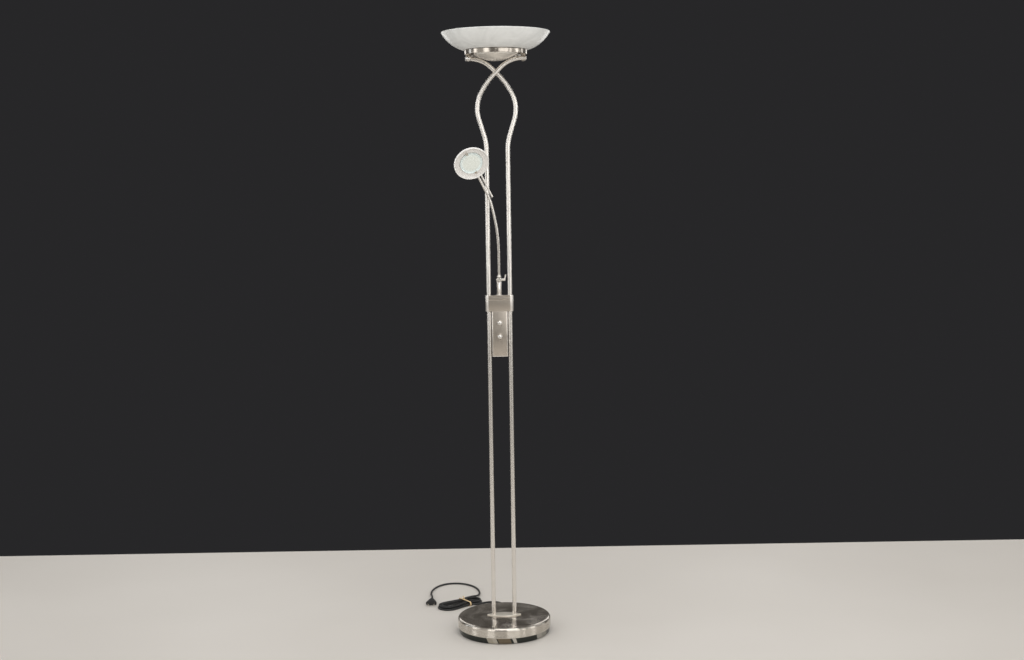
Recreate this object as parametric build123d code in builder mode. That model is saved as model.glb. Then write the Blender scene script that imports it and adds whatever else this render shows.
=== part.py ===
# A torchiere floor lamp with a small reading light on an arm.
#
# Two slender poles stand on a round weighted base. They pass through a T-shaped switch box,
# bow outwards, cross one in front of the other and hold a ring with a glass bowl. A thin arm
# rises from the switch box and carries a small round reading head.
#
# Millimetres, +Z up, +X to the right of someone facing the switches, -Y towards that person.
# The origin is the centre of the base on the floor.
import os
from math import atan2, cos, radians, sin, sqrt, tan

from build123d import *

os.makedirs("parts", exist_ok=True)

# ---------------------------------------------------------------- driving dimensions
# base
cover_radius = 141.3
cover_top = 48.6
cover_edge = 18.0
cover_wall = 1.5
shoulder_radius = 9.0
plinth_inset = 1.7
plinth_lean = 2.2
plinth_wall = 1.6
tray_thickness = 2.0
pad_thickness = 1.5
pad_radius = 11.0
pad_circle = 112.0
weight_radius = 128.0
weight_thickness = 18.0
weight_notch_width = 16.0
weight_notch_depth = 26.0
foot_plate_length = 102.0
foot_plate_width = 40.0
foot_plate_thickness = 3.0

# poles and the screwed joints that hold them
pole_diameter = 12.7
pole_wall = 1.25
pole_spacing = 63.0
stud_bore = 5.5
stud_grip = 28.0
stud_nut_size = 17.0
stud_nut_height = 7.0
spacer_diameter = 19.0
thread_gap = 0.1

# the bowed and crossing part of the upper poles, for the pole on the +X side
bow_start = 1479.0
bow_lean_out = 17.0
bow_corner_height = 1590.0
bow_lean_in = 31.0
cross_height = 1683.0
cross_lean = 45.0
pole_end_height = 1723.5
pole_end_reach = 88.5
pole_end_bolt = 80.5
lug_bolt_diameter = 5.0
bow_radii = [150.0, 102.0, 190.0, 92.0]
lug_thickness = 4.0

# switch box
box_bottom = 843.0
box_top = 1026.6
box_shoulder = 978.6
box_width = 47.0
box_wall = 1.8
sleeve_radius = 10.5
box_corner = 5.0
box_screw_places = [(-17.0, 853.0), (17.0, 853.0), (-17.0, 1010.0), (17.0, 1010.0)]
box_screw_diameter = 3.0
box_screw_length = 15.0
box_boss_diameter = 7.0
sleeve_gap = 0.05

# dimmer knobs
knob_heights = [945.0, 904.0]
knob_diameter = 16.0
knob_reach = 15.0
knob_gap = 0.6
shaft_diameter = 6.0
dimmer_size = 20.0
dimmer_depth = 10.0
dimmer_bush_diameter = 9.0
running_gap = 0.05

# arm post and its clamped knuckle
post_diameter = 13.5
post_bush_diameter = 16.6
post_base = 1013.0
knuckle_height = 1072.8
cheek_gap = 5.4
knuckle_pin_diameter = 4.0
lever_hub_diameter = 7.6
lever_hub_length = 13.0
lever_length = 16.0
lever_diameter = 3.8
lever_lean = 14.0

# arm, drawn in its own leaning plane
arm_tilt = 7.3
arm_diameter = 7.4
arm_wall = 1.2
arm_lower_run = 135.0
arm_middle_run = 105.0
arm_middle_lean = 12.0
arm_upper_run = 148.0
arm_upper_lean = 26.0
arm_radii = [540.0, 215.0]

# reading head
head_offset = 50.0
face_turn = 34.0
shade_radius = 51.5
shade_depth = 13.0
shade_glass = 2.6
cup_radius = 34.5
cup_depth = 34.0
cup_wall = 1.0
lens_radius = 33.2
lens_thickness = 3.0
aim_rod_diameter = 5.6
aim_rod_length = 130.0
aim_rod_side = 9.6
aim_rod_drop = 10.0

# ring, pan and glass bowl
ring_radius = 91.6
ring_wall = 2.6
ring_bottom = 1734.2
ring_top = 1747.2
ledge_radius = 84.0
ledge_thickness = 2.4
pan_radius = 67.0
pan_bottom = 1716.0
pan_wall = 1.2
bowl_rim_radius = 159.6
bowl_height = 1800.0
bowl_glass = 5.0
gasket_thickness = 0.9

# mains lead
cord_diameter = 6.0
cord_exit_height = 9.0
hank_centre = (-140.8, 272.0)
hank_turn = 36.0
hank_waist_right = 30.0
hank_waist_left = 66.0
hank_outer_radius = 34.5
hank_pitch = 7.8
hank_layer_step = 6.7
hank_waist_pinch = 9.5
hank_waist_lift = 1.4
hank_stations = 30
hank_climb_station = 17
tie_gauge = 1.2
tie_width = 7.0
tie_tail = 12.0
plug_length = 38.0
plug_width = 35.0
plug_height = 14.0
plug_pin_spacing = 18.6
plug_pin_diameter = 4.0
plug_pin_length = 19.0
gland_neck_diameter = 10.0
gland_flange_diameter = 13.5
gland_lip_diameter = 10.8
boot_length = 24.0

# ---------------------------------------------------------------- derived positions
half_spacing = pole_spacing / 2
pole_radius = pole_diameter / 2
pole_bore_radius = pole_radius - pole_wall
stud_diameter = 2 * (pole_bore_radius - thread_gap)
plinth_top_radius = cover_radius - plinth_inset
plinth_foot_radius = plinth_top_radius - plinth_lean
tray_bottom = pad_thickness
tray_top = tray_bottom + tray_thickness
weight_top = tray_top + weight_thickness
cover_underside = cover_top - cover_wall
foot_plate_top = cover_top + foot_plate_thickness
pole_places = [(-half_spacing, 0), (half_spacing, 0)]


def save(piece, name):
    """Give a finished piece its name and write it as its own STEP file."""
    piece.part.label = name
    export_step(piece.part, f"parts/{name}.step")


# ---------------------------------------------------------------- base
# The cover is a polished spun shell, open underneath, with a rounded shoulder.
with BuildPart() as base_cover:
    with BuildSketch(Plane.XZ):
        with BuildLine():
            outer_side = Line((cover_radius, cover_edge), (cover_radius, cover_top - shoulder_radius))
            shoulder_end = (cover_radius - shoulder_radius, cover_top)
            outer_turn = RadiusArc(outer_side @ 1, shoulder_end, -shoulder_radius)
            outer_top = Line(outer_turn @ 1, (0, cover_top))
            axis_side = Line(outer_top @ 1, (0, cover_underside))
            inner_top = Line(axis_side @ 1, (cover_radius - shoulder_radius, cover_underside))
            inner_turn = RadiusArc(
                inner_top @ 1,
                (cover_radius - cover_wall, cover_top - shoulder_radius),
                shoulder_radius - cover_wall,
            )
            inner_side = Line(inner_turn @ 1, (cover_radius - cover_wall, cover_edge))
            Line(inner_side @ 1, outer_side @ 0)
        make_face()
    revolve(axis=Axis.Z)
    with BuildSketch(Plane.XY.offset(cover_top)):
        with Locations(*pole_places):
            Circle(stud_diameter / 2 + thread_gap)
    extrude(amount=-2 * cover_wall, mode=Mode.SUBTRACT)
save(base_cover, "base_cover")

# The plinth is a pressed tray with a slightly leaning mirror-bright wall under the cover's edge.
with BuildPart() as base_plinth:
    with BuildSketch(Plane.XZ):
        with BuildLine():
            Polyline(
                (0, tray_bottom),
                (plinth_foot_radius, tray_bottom),
                (plinth_top_radius, cover_edge),
                (plinth_top_radius - plinth_wall, cover_edge),
                (plinth_foot_radius - plinth_wall, tray_top),
                (0, tray_top),
                close=True,
            )
        make_face()
    revolve(axis=Axis.Z)
    with BuildSketch(Plane.XZ.offset(-plinth_foot_radius + 10)):
        with Locations((0, cord_exit_height)):
            Circle(gland_neck_diameter / 2)
    extrude(amount=-20, mode=Mode.SUBTRACT)
save(base_plinth, "base_plinth")

with BuildPart() as base_weight:
    with BuildSketch(Plane.XY.offset(tray_top)):
        Circle(weight_radius)
        with Locations((0, weight_radius)):
            Rectangle(weight_notch_width, 2 * weight_notch_depth, mode=Mode.SUBTRACT)
        with Locations(*pole_places):
            Circle(stud_diameter / 2 + thread_gap, mode=Mode.SUBTRACT)
    extrude(amount=weight_thickness)
    with BuildSketch(Plane.XY.offset(tray_top)):
        with Locations(*pole_places):
            Circle(stud_nut_size / 2 + 4)
    extrude(amount=stud_nut_height + 1, mode=Mode.SUBTRACT)
save(base_weight, "base_weight")

with BuildPart() as base_pads:
    with BuildSketch(Plane.XY):
        with PolarLocations(pad_circle, 4, start_angle=45):
            Circle(pad_radius)
    extrude(amount=pad_thickness)
save(base_pads, "base_pads")

# The foot plate is a pointed oval under both poles.
with BuildPart() as foot_plate:
    with BuildSketch(Plane.XY.offset(cover_top)):
        with BuildLine():
            tip = foot_plate_length / 2
            ThreePointArc((-tip, 0), (0, -foot_plate_width / 2), (tip, 0))
            ThreePointArc((tip, 0), (0, foot_plate_width / 2), (-tip, 0))
        make_face()
        with Locations(*pole_places):
            Circle(stud_diameter / 2 + thread_gap, mode=Mode.SUBTRACT)
    extrude(amount=foot_plate_thickness)
    chamfer(faces().sort_by(Axis.Z)[-1].outer_wire().edges(), 0.8)
save(foot_plate, "foot_plate")

# Spacer sleeves carry the cover over the weight.
with BuildPart() as base_spacers:
    with BuildSketch(Plane.XY.offset(weight_top)):
        with Locations(*pole_places):
            Circle(spacer_diameter / 2)
            Circle(stud_diameter / 2 + thread_gap, mode=Mode.SUBTRACT)
    extrude(amount=cover_underside - weight_top)
save(base_spacers, "base_spacers")

# Hollow studs and nuts clamp poles, foot plate, cover, spacers and weight together.
stud_bottom = tray_top + 0.5
with BuildPart() as pole_studs:
    with BuildSketch(Plane.XY.offset(stud_bottom)):
        with Locations(*pole_places):
            Circle(stud_diameter / 2)
            Circle(stud_bore / 2, mode=Mode.SUBTRACT)
    extrude(amount=foot_plate_top + stud_grip - stud_bottom)
save(pole_studs, "pole_studs")

with BuildPart() as stud_nuts:
    with BuildSketch(Plane.XY.offset(tray_top + 1)):
        with Locations(*pole_places):
            RegularPolygon(stud_nut_size / 2, 6, major_radius=False)
            Circle(stud_diameter / 2 + thread_gap, mode=Mode.SUBTRACT)
    extrude(amount=stud_nut_height)
save(stud_nuts, "stud_nuts")

# ---------------------------------------------------------------- poles
# The lower poles end inside the switch box's sleeves, where a coupler joins the upper ones.
joint_height = (box_shoulder + box_top) / 2
for side, side_name in ((-1, "left"), (1, "right")):
    with BuildPart() as lower_pole:
        with BuildSketch(Plane.XY.offset(foot_plate_top)):
            with Locations((side * half_spacing, 0)):
                Circle(pole_radius)
                Circle(pole_bore_radius, mode=Mode.SUBTRACT)
        extrude(amount=joint_height - foot_plate_top)
    save(lower_pole, f"pole_lower_{side_name}")

with BuildPart() as pole_couplers:
    with BuildSketch(Plane.XY.offset(joint_height - stud_grip / 2)):
        with Locations(*pole_places):
            Circle(pole_bore_radius - thread_gap)
            Circle(stud_bore / 2, mode=Mode.SUBTRACT)
    extrude(amount=stud_grip)
save(pole_couplers, "pole_couplers")

# Each upper pole rises straight, bows outwards and then leans across to the other side. The
# left one passes in front (-Y), the right one behind, and each ends beside a lug of the ring.
lean_out = tan(radians(bow_lean_out))
lean_in = tan(radians(bow_lean_in))
bow_corner_reach = half_spacing + (bow_corner_height - bow_start) * lean_out
lean_cross = tan(radians(cross_lean))
second_corner_height = (
    bow_corner_reach + bow_corner_height * lean_in - cross_height * lean_cross
) / (lean_in - lean_cross)
second_corner_reach = (cross_height - second_corner_height) * lean_cross
last_corner_reach = (pole_end_height - cross_height) * lean_cross
pole_offset = lug_thickness / 2 + pole_radius
for side, side_name in ((-1, "front"), (1, "back")):
    route = [
        (side * half_spacing, 0, joint_height),
        (side * half_spacing, 0, bow_start),
        (side * bow_corner_reach, side * pole_offset * 0.45, bow_corner_height),
        (side * second_corner_reach, side * pole_offset, second_corner_height),
        (-side * last_corner_reach, side * pole_offset, pole_end_height),
        (-side * pole_end_reach, side * pole_offset, pole_end_height),
    ]
    with BuildPart() as upper_pole:
        with BuildLine():
            FilletPolyline(*route, radius=bow_radii)
        with BuildSketch(Plane(origin=route[0], z_dir=(0, 0, 1))):
            Circle(pole_radius)
            Circle(pole_bore_radius, mode=Mode.SUBTRACT)
        sweep()
        bolt_plane = Plane.XZ.offset(-side * pole_offset - pole_diameter)
        with BuildSketch(bolt_plane):
            with Locations((-side * pole_end_bolt, pole_end_height)):
                Circle(lug_bolt_diameter / 2 + running_gap)
        extrude(amount=2 * pole_diameter, mode=Mode.SUBTRACT)
    save(upper_pole, f"pole_upper_{side_name}")

# A domed plug closes the free end of each upper pole.
with BuildPart() as pole_end_caps:
    for side in (-1, 1):
        end_plane = Plane(
            origin=(-side * pole_end_reach, side * pole_offset, pole_end_height),
            x_dir=(0, 0, 1),
            z_dir=(-side, 0, 0),
        )
        with BuildSketch(end_plane):
            Circle(pole_radius)
        extrude(amount=1.2)
        with BuildSketch(end_plane):
            Circle(pole_bore_radius - thread_gap)
        extrude(amount=-4)
save(pole_end_caps, "pole_end_caps")

# ---------------------------------------------------------------- switch box
# Two half shells close on the poles. From the front the box is a T whose arms are sleeves.
box_top_width = 2 * (half_spacing + sleeve_radius)


def box_outline(shrink):
    """The T seen from the front, drawn in by shrink all round."""
    with BuildSketch(Plane.XZ) as outline:
        with Locations((0, (box_bottom + box_top) / 2)):
            Rectangle(box_width - 2 * shrink, box_top - box_bottom - 2 * shrink)
        if shrink == 0:
            with Locations((0, (box_shoulder + box_top) / 2)):
                Rectangle(2 * half_spacing, box_top - box_shoulder)
    return outline.sketch


for direction, face_name in ((-1, "front"), (1, "back")):
    with BuildPart() as shell:
        with BuildSketch(Plane.XZ):
            add(box_outline(0))
        extrude(amount=-direction * sleeve_radius)
        with BuildSketch(Plane.XY.offset(box_shoulder)):
            with Locations(*pole_places):
                Circle(sleeve_radius)
            with Locations((0, -direction * sleeve_radius)):
                Rectangle(2 * box_top_width, 2 * sleeve_radius, mode=Mode.SUBTRACT)
        extrude(amount=box_top - box_shoulder)
        low_corners = edges().filter_by(Axis.Z).filter_by(
            lambda e: abs(abs(e.center().Y) - sleeve_radius) < 0.01
            and abs(abs(e.center().X) - box_width / 2) < 0.01
        )
        fillet(low_corners, box_corner)
        with BuildSketch(Plane.XZ):
            add(box_outline(box_wall))
        extrude(amount=-direction * (sleeve_radius - box_wall), mode=Mode.SUBTRACT)
        with BuildSketch(Plane.XY.offset(box_shoulder)):
            with Locations(*pole_places):
                Circle(pole_radius + sleeve_gap)
        extrude(amount=box_top - box_shoulder, mode=Mode.SUBTRACT)
        with BuildSketch(Plane.XY.offset(box_top)):
            Circle(post_bush_diameter / 2 + running_gap)
        extrude(amount=-2 * box_wall, mode=Mode.SUBTRACT)
        if direction < 0:
            with BuildSketch(Plane.XZ.offset(sleeve_radius)):
                with Locations(*[(0, height) for height in knob_heights]):
                    Circle(dimmer_bush_diameter / 2 + running_gap)
            extrude(amount=-2 * box_wall, mode=Mode.SUBTRACT)
        with BuildSketch(Plane.XZ):
            with Locations(*box_screw_places):
                Circle(box_boss_diameter / 2)
        extrude(amount=-direction * (sleeve_radius - box_wall / 2))
        with BuildSketch(Plane.XZ):
            with Locations(*box_screw_places):
                Circle(box_screw_diameter / 2 + running_gap)
        through = box_screw_length - sleeve_radius if direction < 0 else 2 * sleeve_radius
        extrude(amount=-direction * through, mode=Mode.SUBTRACT)
    save(shell, f"box_{face_name}")

with BuildPart() as box_screws:
    with BuildSketch(Plane.XZ.offset(-sleeve_radius)):
        with Locations(*box_screw_places):
            Circle(box_screw_diameter)
    extrude(amount=-1.6)
    with BuildSketch(Plane.XZ.offset(-sleeve_radius)):
        with Locations(*box_screw_places):
            Circle(box_screw_diameter / 2)
    extrude(amount=box_screw_length)
save(box_screws, "box_screws")

# The bush fills the box's top opening and carries the turning post.
bush_flange = 1.5
with BuildPart() as post_bush:
    with BuildSketch(Plane.XY.offset(post_base)):
        Circle(post_bush_diameter / 2)
    extrude(amount=box_top - post_base)
    with BuildSketch(Plane.XY.offset(box_top - box_wall)):
        Circle(post_bush_diameter / 2 + 0.35)
    extrude(amount=-bush_flange)
    with BuildSketch(Plane.XY.offset(post_base)):
        Circle(post_diameter / 2 + running_gap)
    extrude(amount=box_top - post_base, mode=Mode.SUBTRACT)
save(post_bush, "post_bush")

# ---------------------------------------------------------------- dimmers and knobs
dimmer_front = -(sleeve_radius - box_wall)
knob_back = -(sleeve_radius + knob_gap)
for level, height in zip(("upper", "lower"), knob_heights):
    face_plane = Plane(origin=(0, dimmer_front, height), x_dir=(1, 0, 0), z_dir=(0, -1, 0))
    with BuildPart() as dimmer:
        with BuildSketch(face_plane):
            RectangleRounded(dimmer_size, dimmer_size, 2)
        extrude(amount=-dimmer_depth)
        with BuildSketch(face_plane):
            Circle(dimmer_bush_diameter / 2)
        extrude(amount=box_wall)
        with BuildSketch(face_plane):
            Circle(shaft_diameter / 2 + running_gap)
        extrude(amount=2 * dimmer_depth, both=True, mode=Mode.SUBTRACT)
        with BuildSketch(face_plane.offset(-dimmer_depth)):
            Circle(shaft_diameter)
        extrude(amount=1.5)
    save(dimmer, f"{level}_dimmer")

    shaft_length = dimmer_depth - 2.0 + box_wall + knob_reach - 4.0
    with BuildPart() as shaft:
        with BuildSketch(face_plane.offset(2.0 - dimmer_depth)):
            Circle(shaft_diameter / 2)
        extrude(amount=shaft_length)
    save(shaft, f"{level}_shaft")

    # A short skirt and a ball-shaped grip, bored from behind for the shaft.
    with BuildPart() as knob:
        with BuildSketch(Plane(origin=(0, knob_back, height), x_dir=(1, 0, 0), z_dir=(0, 0, 1))):
            with BuildLine():
                grip = knob_diameter / 2
                neck = grip * 0.62
                rim = Line((0, 0), (-neck, 0))
                skirt = Line(rim @ 1, (-neck, -1.2))
                flare = RadiusArc(skirt @ 1, (-grip, -grip * 0.75), 9.0)
                TangentArc((0, -knob_reach), flare @ 1, tangent=(-1, 0))
                Line((0, -knob_reach), rim @ 0)
            make_face()
        revolve(axis=Axis((0, knob_back, height), (0, 1, 0)))
        with BuildSketch(Plane(origin=(0, knob_back, height), x_dir=(1, 0, 0), z_dir=(0, -1, 0))):
            Circle(shaft_diameter / 2 + thread_gap / 2)
        extrude(amount=knob_reach - 4.5, mode=Mode.SUBTRACT)
    save(knob, f"{level}_knob")

with BuildPart() as terminal_block:
    with BuildSketch(Plane.XY.offset(box_shoulder)):
        with Locations((0, 0.5)):
            Rectangle(30, 12)
    extrude(amount=16)
    with BuildSketch(Plane.XZ.offset(20)):
        with Locations((-9, box_shoulder + 8), (0, box_shoulder + 8), (9, box_shoulder + 8)):
            Circle(2)
    extrude(amount=-40, mode=Mode.SUBTRACT)
    with BuildSketch(Plane.XZ.offset(-6.5)):
        with Locations((0, box_shoulder + 8)):
            Rectangle(20, 3)
    extrude(amount=-(sleeve_radius - box_wall - 6.5))
save(terminal_block, "terminal_block")

# ---------------------------------------------------------------- arm post and clamped knuckle
post_shoulder = knuckle_height - 4.6
with BuildPart() as arm_post:
    with BuildSketch(Plane.XY.offset(post_base)):
        Circle(post_diameter / 2)
    extrude(amount=post_shoulder - post_base)
    with BuildSketch(Plane.YZ.offset(-post_diameter / 2 + 1.4)):
        with Locations((0, knuckle_height)):
            Circle(post_diameter / 2)
    extrude(amount=post_diameter - 2.8)
    with BuildSketch(Plane.YZ.offset(-cheek_gap / 2)):
        with Locations((0, knuckle_height + post_diameter / 2 - 0.5)):
            Rectangle(2 * post_diameter, 2 * post_diameter - 1)
    extrude(amount=cheek_gap, mode=Mode.SUBTRACT)
    with BuildSketch(Plane.YZ.offset(-post_diameter)):
        with Locations((0, knuckle_height)):
            Circle(knuckle_pin_diameter / 2 + running_gap)
    extrude(amount=2 * post_diameter, mode=Mode.SUBTRACT)
save(arm_post, "arm_post")

with BuildPart() as post_ring:
    with BuildSketch(Plane.XY.offset(box_top + 0.05)):
        Circle(post_diameter / 2 + 2.0)
        Circle(post_diameter / 2 + thread_gap / 2, mode=Mode.SUBTRACT)
    extrude(amount=2.0)
save(post_ring, "post_ring")

cheek_face = post_diameter / 2 - 1.4
with BuildPart() as knuckle_bolt:
    with BuildSketch(Plane.YZ.offset(-cheek_face)):
        with Locations((0, knuckle_height)):
            Circle(knuckle_pin_diameter)
    extrude(amount=-3.0)
    with BuildSketch(Plane.YZ.offset(-cheek_face)):
        with Locations((0, knuckle_height)):
            Circle(knuckle_pin_diameter / 2)
    extrude(amount=2 * cheek_face + lever_hub_length - 2)
save(knuckle_bolt, "knuckle_bolt")

# The clamp lever's hub screws on the bolt, and its short bar sticks up beside it.
hub_start = cheek_face + 0.05
bar_root = hub_start + lever_hub_length - 2.4
with BuildPart() as clamp_lever:
    with BuildSketch(Plane.YZ.offset(hub_start)):
        with Locations((0, knuckle_height)):
            Circle(lever_hub_diameter / 2)
    extrude(amount=lever_hub_length)
    bar_plane = Plane(
        origin=(bar_root, 0, knuckle_height),
        x_dir=(0, 1, 0),
        z_dir=(sin(radians(lever_lean)), 0, cos(radians(lever_lean))),
    )
    with BuildSketch(bar_plane):
        Circle(lever_diameter / 2)
    extrude(amount=lever_length)
    fillet(faces().sort_by(Axis.Z)[-1].edges(), lever_diameter / 2 - 0.3)
    with BuildSketch(Plane.YZ.offset(hub_start)):
        with Locations((0, knuckle_height)):
            Circle(knuckle_pin_diameter / 2 + running_gap)
    extrude(amount=lever_hub_length - 1.5, mode=Mode.SUBTRACT)
save(clamp_lever, "clamp_lever")

# ---------------------------------------------------------------- arm
lean = radians(arm_tilt)
arm_plane = Plane(
    origin=(0, 0, knuckle_height), x_dir=(1, 0, 0), z_dir=(0, -cos(lean), -sin(lean))
)
middle = radians(arm_middle_lean)
upper = radians(arm_upper_lean)
arm_foot = 12.5
first_bend = (0, arm_lower_run)
second_bend = (
    first_bend[0] - arm_middle_run * sin(middle),
    first_bend[1] + arm_middle_run * cos(middle),
)
arm_pivot = (
    second_bend[0] - arm_upper_run * sin(upper),
    second_bend[1] + arm_upper_run * cos(upper),
)
arm_end_gap = 17.0
arm_end = (arm_pivot[0] + arm_end_gap * sin(upper), arm_pivot[1] - arm_end_gap * cos(upper))
with BuildPart() as arm:
    with BuildLine(arm_plane):
        FilletPolyline((0, arm_foot), first_bend, second_bend, arm_end, radius=arm_radii)
    with BuildSketch(Plane(origin=arm_plane.from_local_coords((0, arm_foot)), z_dir=arm_plane.y_dir)):
        Circle(arm_diameter / 2)
        Circle(arm_diameter / 2 - arm_wall, mode=Mode.SUBTRACT)
    sweep()
save(arm, "arm")

# The arm's root is a cone on a flat tongue that sits between the post's cheeks.
with BuildPart() as arm_root:
    with BuildSketch(Plane(origin=arm_plane.origin, x_dir=arm_plane.x_dir, z_dir=arm_plane.z_dir)):
        with BuildLine():
            Polyline(
                (0, 8.2),
                (post_diameter / 2 - 0.4, 8.2),
                (arm_diameter / 2 + 0.3, arm_foot + 1.5),
                (arm_diameter / 2 + 0.3, arm_foot + 4),
                (0, arm_foot + 4),
                close=True,
            )
        make_face()
    revolve(axis=Axis(arm_plane.origin, arm_plane.y_dir))
    with BuildSketch(Plane.YZ.offset(-cheek_gap / 2 + running_gap)):
        with Locations((0, knuckle_height)):
            Circle(post_diameter / 2 - 1.0)
    extrude(amount=cheek_gap - 2 * running_gap)
    tongue_plane = Plane(origin=arm_plane.origin, x_dir=(1, 0, 0), z_dir=arm_plane.y_dir)
    with BuildSketch(tongue_plane):
        Rectangle(cheek_gap - 2 * running_gap, 2 * (post_diameter / 2 - 1.6))
    extrude(amount=9)
    with BuildSketch(tongue_plane.offset(arm_foot)):
        Circle(arm_diameter / 2 + thread_gap / 2)
    extrude(amount=10, mode=Mode.SUBTRACT)
    with BuildSketch(Plane.YZ.offset(-10)):
        with Locations((0, knuckle_height)):
            Circle(knuckle_pin_diameter / 2 + running_gap)
    extrude(amount=20, mode=Mode.SUBTRACT)
save(arm_root, "arm_root")

# ---------------------------------------------------------------- reading head
# The head turns on the arm's end and nods about a pin across it. Its own frame has the pin
# along x, the face's way up along y and the face's outward direction along z.
pivot = arm_plane.from_local_coords(arm_pivot)
arm_way = (pivot - arm_plane.from_local_coords(second_bend)).normalized()
roll = atan2(-arm_way.X, arm_way.Z)
turn = radians(face_turn)
pin_way = Vector(cos(roll), 0, sin(roll))
face_way = Vector(sin(roll) * sin(turn), -cos(turn), -cos(roll) * sin(turn))
head_up = face_way.cross(pin_way)
head_centre = pivot + face_way * head_offset
head_plane = Plane(origin=head_centre, x_dir=pin_way, z_dir=face_way)
head_section = Plane(origin=head_centre, x_dir=pin_way, z_dir=-head_up)
head_axis = Axis(head_centre, face_way)
knuckle_radius = 4.6
tongue_half = 2.5
pin_radius = 1.6

pin_plane = Plane(origin=pivot, x_dir=face_way, z_dir=pin_way)
swivel_plane = Plane(origin=pivot, x_dir=pin_way, z_dir=-arm_way)
with BuildPart() as swivel_stud:
    with BuildSketch(swivel_plane.offset(arm_end_gap - 5.0)):
        Circle(2.2)
    extrude(amount=15.0)
    with BuildSketch(swivel_plane.offset(arm_end_gap - 1.2)):
        Circle(arm_diameter / 2 + 0.4)
    extrude(amount=1.2)
save(swivel_stud, "swivel_stud")

# The fork turns on the stud and holds the cup's tongue between two round cheeks.
fork_length = arm_end_gap - 1.25
fork_radius = 4.9
with BuildPart() as head_fork:
    with BuildSketch(swivel_plane.offset(9.4)):
        Circle(fork_radius)
    extrude(amount=fork_length - 9.4)
    for cheek in (-1, 1):
        with BuildSketch(pin_plane.offset(cheek * (tongue_half + 0.15))):
            Circle(knuckle_radius + 0.3)
        extrude(amount=cheek * 2.4)
        cheek_root = Plane(
            origin=pivot + pin_way * cheek * (tongue_half + 0.15 + 1.2), x_dir=pin_way, z_dir=-arm_way
        )
        with BuildSketch(cheek_root):
            Rectangle(2.4, 2 * knuckle_radius)
        extrude(amount=9.6)
    with BuildSketch(pin_plane):
        Circle(pin_radius + running_gap)
    extrude(amount=12, both=True, mode=Mode.SUBTRACT)
    with BuildSketch(swivel_plane.offset(arm_end_gap - 5.05)):
        Circle(2.2 + running_gap)
    extrude(amount=15.0, mode=Mode.SUBTRACT)
save(head_fork, "head_fork")

with BuildPart() as head_pin:
    with BuildSketch(pin_plane.offset(-tongue_half - 2.55)):
        Circle(pin_radius)
    extrude(amount=2 * (tongue_half + 2.55))
    for cheek in (-1, 1):
        with BuildSketch(pin_plane.offset(cheek * (tongue_half + 2.55))):
            Circle(3.2)
        extrude(amount=cheek * 1.4)
save(head_pin, "head_pin")

# The aiming rod stands in a small post on the cup's back and runs down past the shade's edge.
rod_way = Vector(sin(roll), 0, -cos(roll))
rod_depth = head_offset - 6.0
rod_root = head_centre - face_way * rod_depth - head_up * aim_rod_drop + pin_way * aim_rod_side
rod_plane = Plane(origin=rod_root, x_dir=pin_way, z_dir=rod_way)
with BuildPart() as aim_rod:
    with BuildSketch(rod_plane):
        Circle(aim_rod_diameter / 2)
    extrude(amount=aim_rod_length)
    fillet(faces().sort_by(Axis(rod_root, rod_way))[-1].edges(), aim_rod_diameter / 2 - 0.4)
save(aim_rod, "aim_rod")

# The cup is a spun reflector shell, closed at the back, with a brazed tongue and rod post.
cup_back_radius = 15.0
cup_shoulder = 12.0
with BuildPart() as head_cup:
    with BuildSketch(head_section):
        with BuildLine():
            lip = Line((cup_radius, -6.0), (cup_radius - cup_wall, -6.0))
            inner_bell = ThreePointArc(
                lip @ 1,
                (cup_radius * 0.86 - cup_wall, -cup_shoulder - 8),
                (cup_back_radius - cup_wall, -cup_depth + cup_wall),
            )
            inner_floor = Line(inner_bell @ 1, (0, -cup_depth + cup_wall))
            spine = Line(inner_floor @ 1, (0, -cup_depth))
            outer_floor = Line(spine @ 1, (cup_back_radius, -cup_depth))
            ThreePointArc(outer_floor @ 1, (cup_radius * 0.86, -cup_shoulder - 8), lip @ 0)
        make_face()
    revolve(axis=head_axis)
    with BuildSketch(pin_plane.offset(-tongue_half)):
        Circle(knuckle_radius)
        with Locations(((head_offset - cup_depth) / 2, 0)):
            Rectangle(head_offset - cup_depth, 2 * knuckle_radius - 1.2)
    extrude(amount=2 * tongue_half)
    with BuildSketch(head_plane.offset(-cup_depth + cup_wall / 2)):
        with Locations((aim_rod_side, -aim_rod_drop)):
            Circle(aim_rod_diameter / 2 + 1.1)
    extrude(amount=cup_depth - rod_depth - 4.0)
    with BuildSketch(rod_plane.offset(-thread_gap)):
        Circle(aim_rod_diameter / 2 + thread_gap / 2)
    extrude(amount=20, mode=Mode.SUBTRACT)
    with BuildSketch(pin_plane):
        Circle(pin_radius + running_gap)
    extrude(amount=12, both=True, mode=Mode.SUBTRACT)
save(head_cup, "head_cup")

# The shade is a flat frosted glass dish round the cup's mouth.
with BuildPart() as head_shade:
    with BuildSketch(head_section):
        with BuildLine():
            inner = Line((cup_radius + 0.3, -6.2), (cup_radius + 0.3, -6.2 - shade_glass))
            under = ThreePointArc(
                inner @ 1, (shade_radius - 6.0, -shade_depth + 1.6), (shade_radius, -shade_depth + 8.0)
            )
            side = Line(under @ 1, (shade_radius, -1.0))
            lip_turn = ThreePointArc(side @ 1, (shade_radius - 1.2, 0), (shade_radius - 2.4, -1.0))
            ThreePointArc(lip_turn @ 1, (shade_radius - 8.0, -4.6), inner @ 0)
        make_face()
    revolve(axis=head_axis)
save(head_shade, "head_shade")

lens_front = -2.8
with BuildPart() as head_lens:
    with BuildSketch(head_plane.offset(lens_front - lens_thickness)):
        Circle(lens_radius)
    extrude(amount=lens_thickness)
    chamfer(faces().sort_by(Axis(head_centre, face_way))[-1].edges(), 0.5)
save(head_lens, "head_lens")

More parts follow.
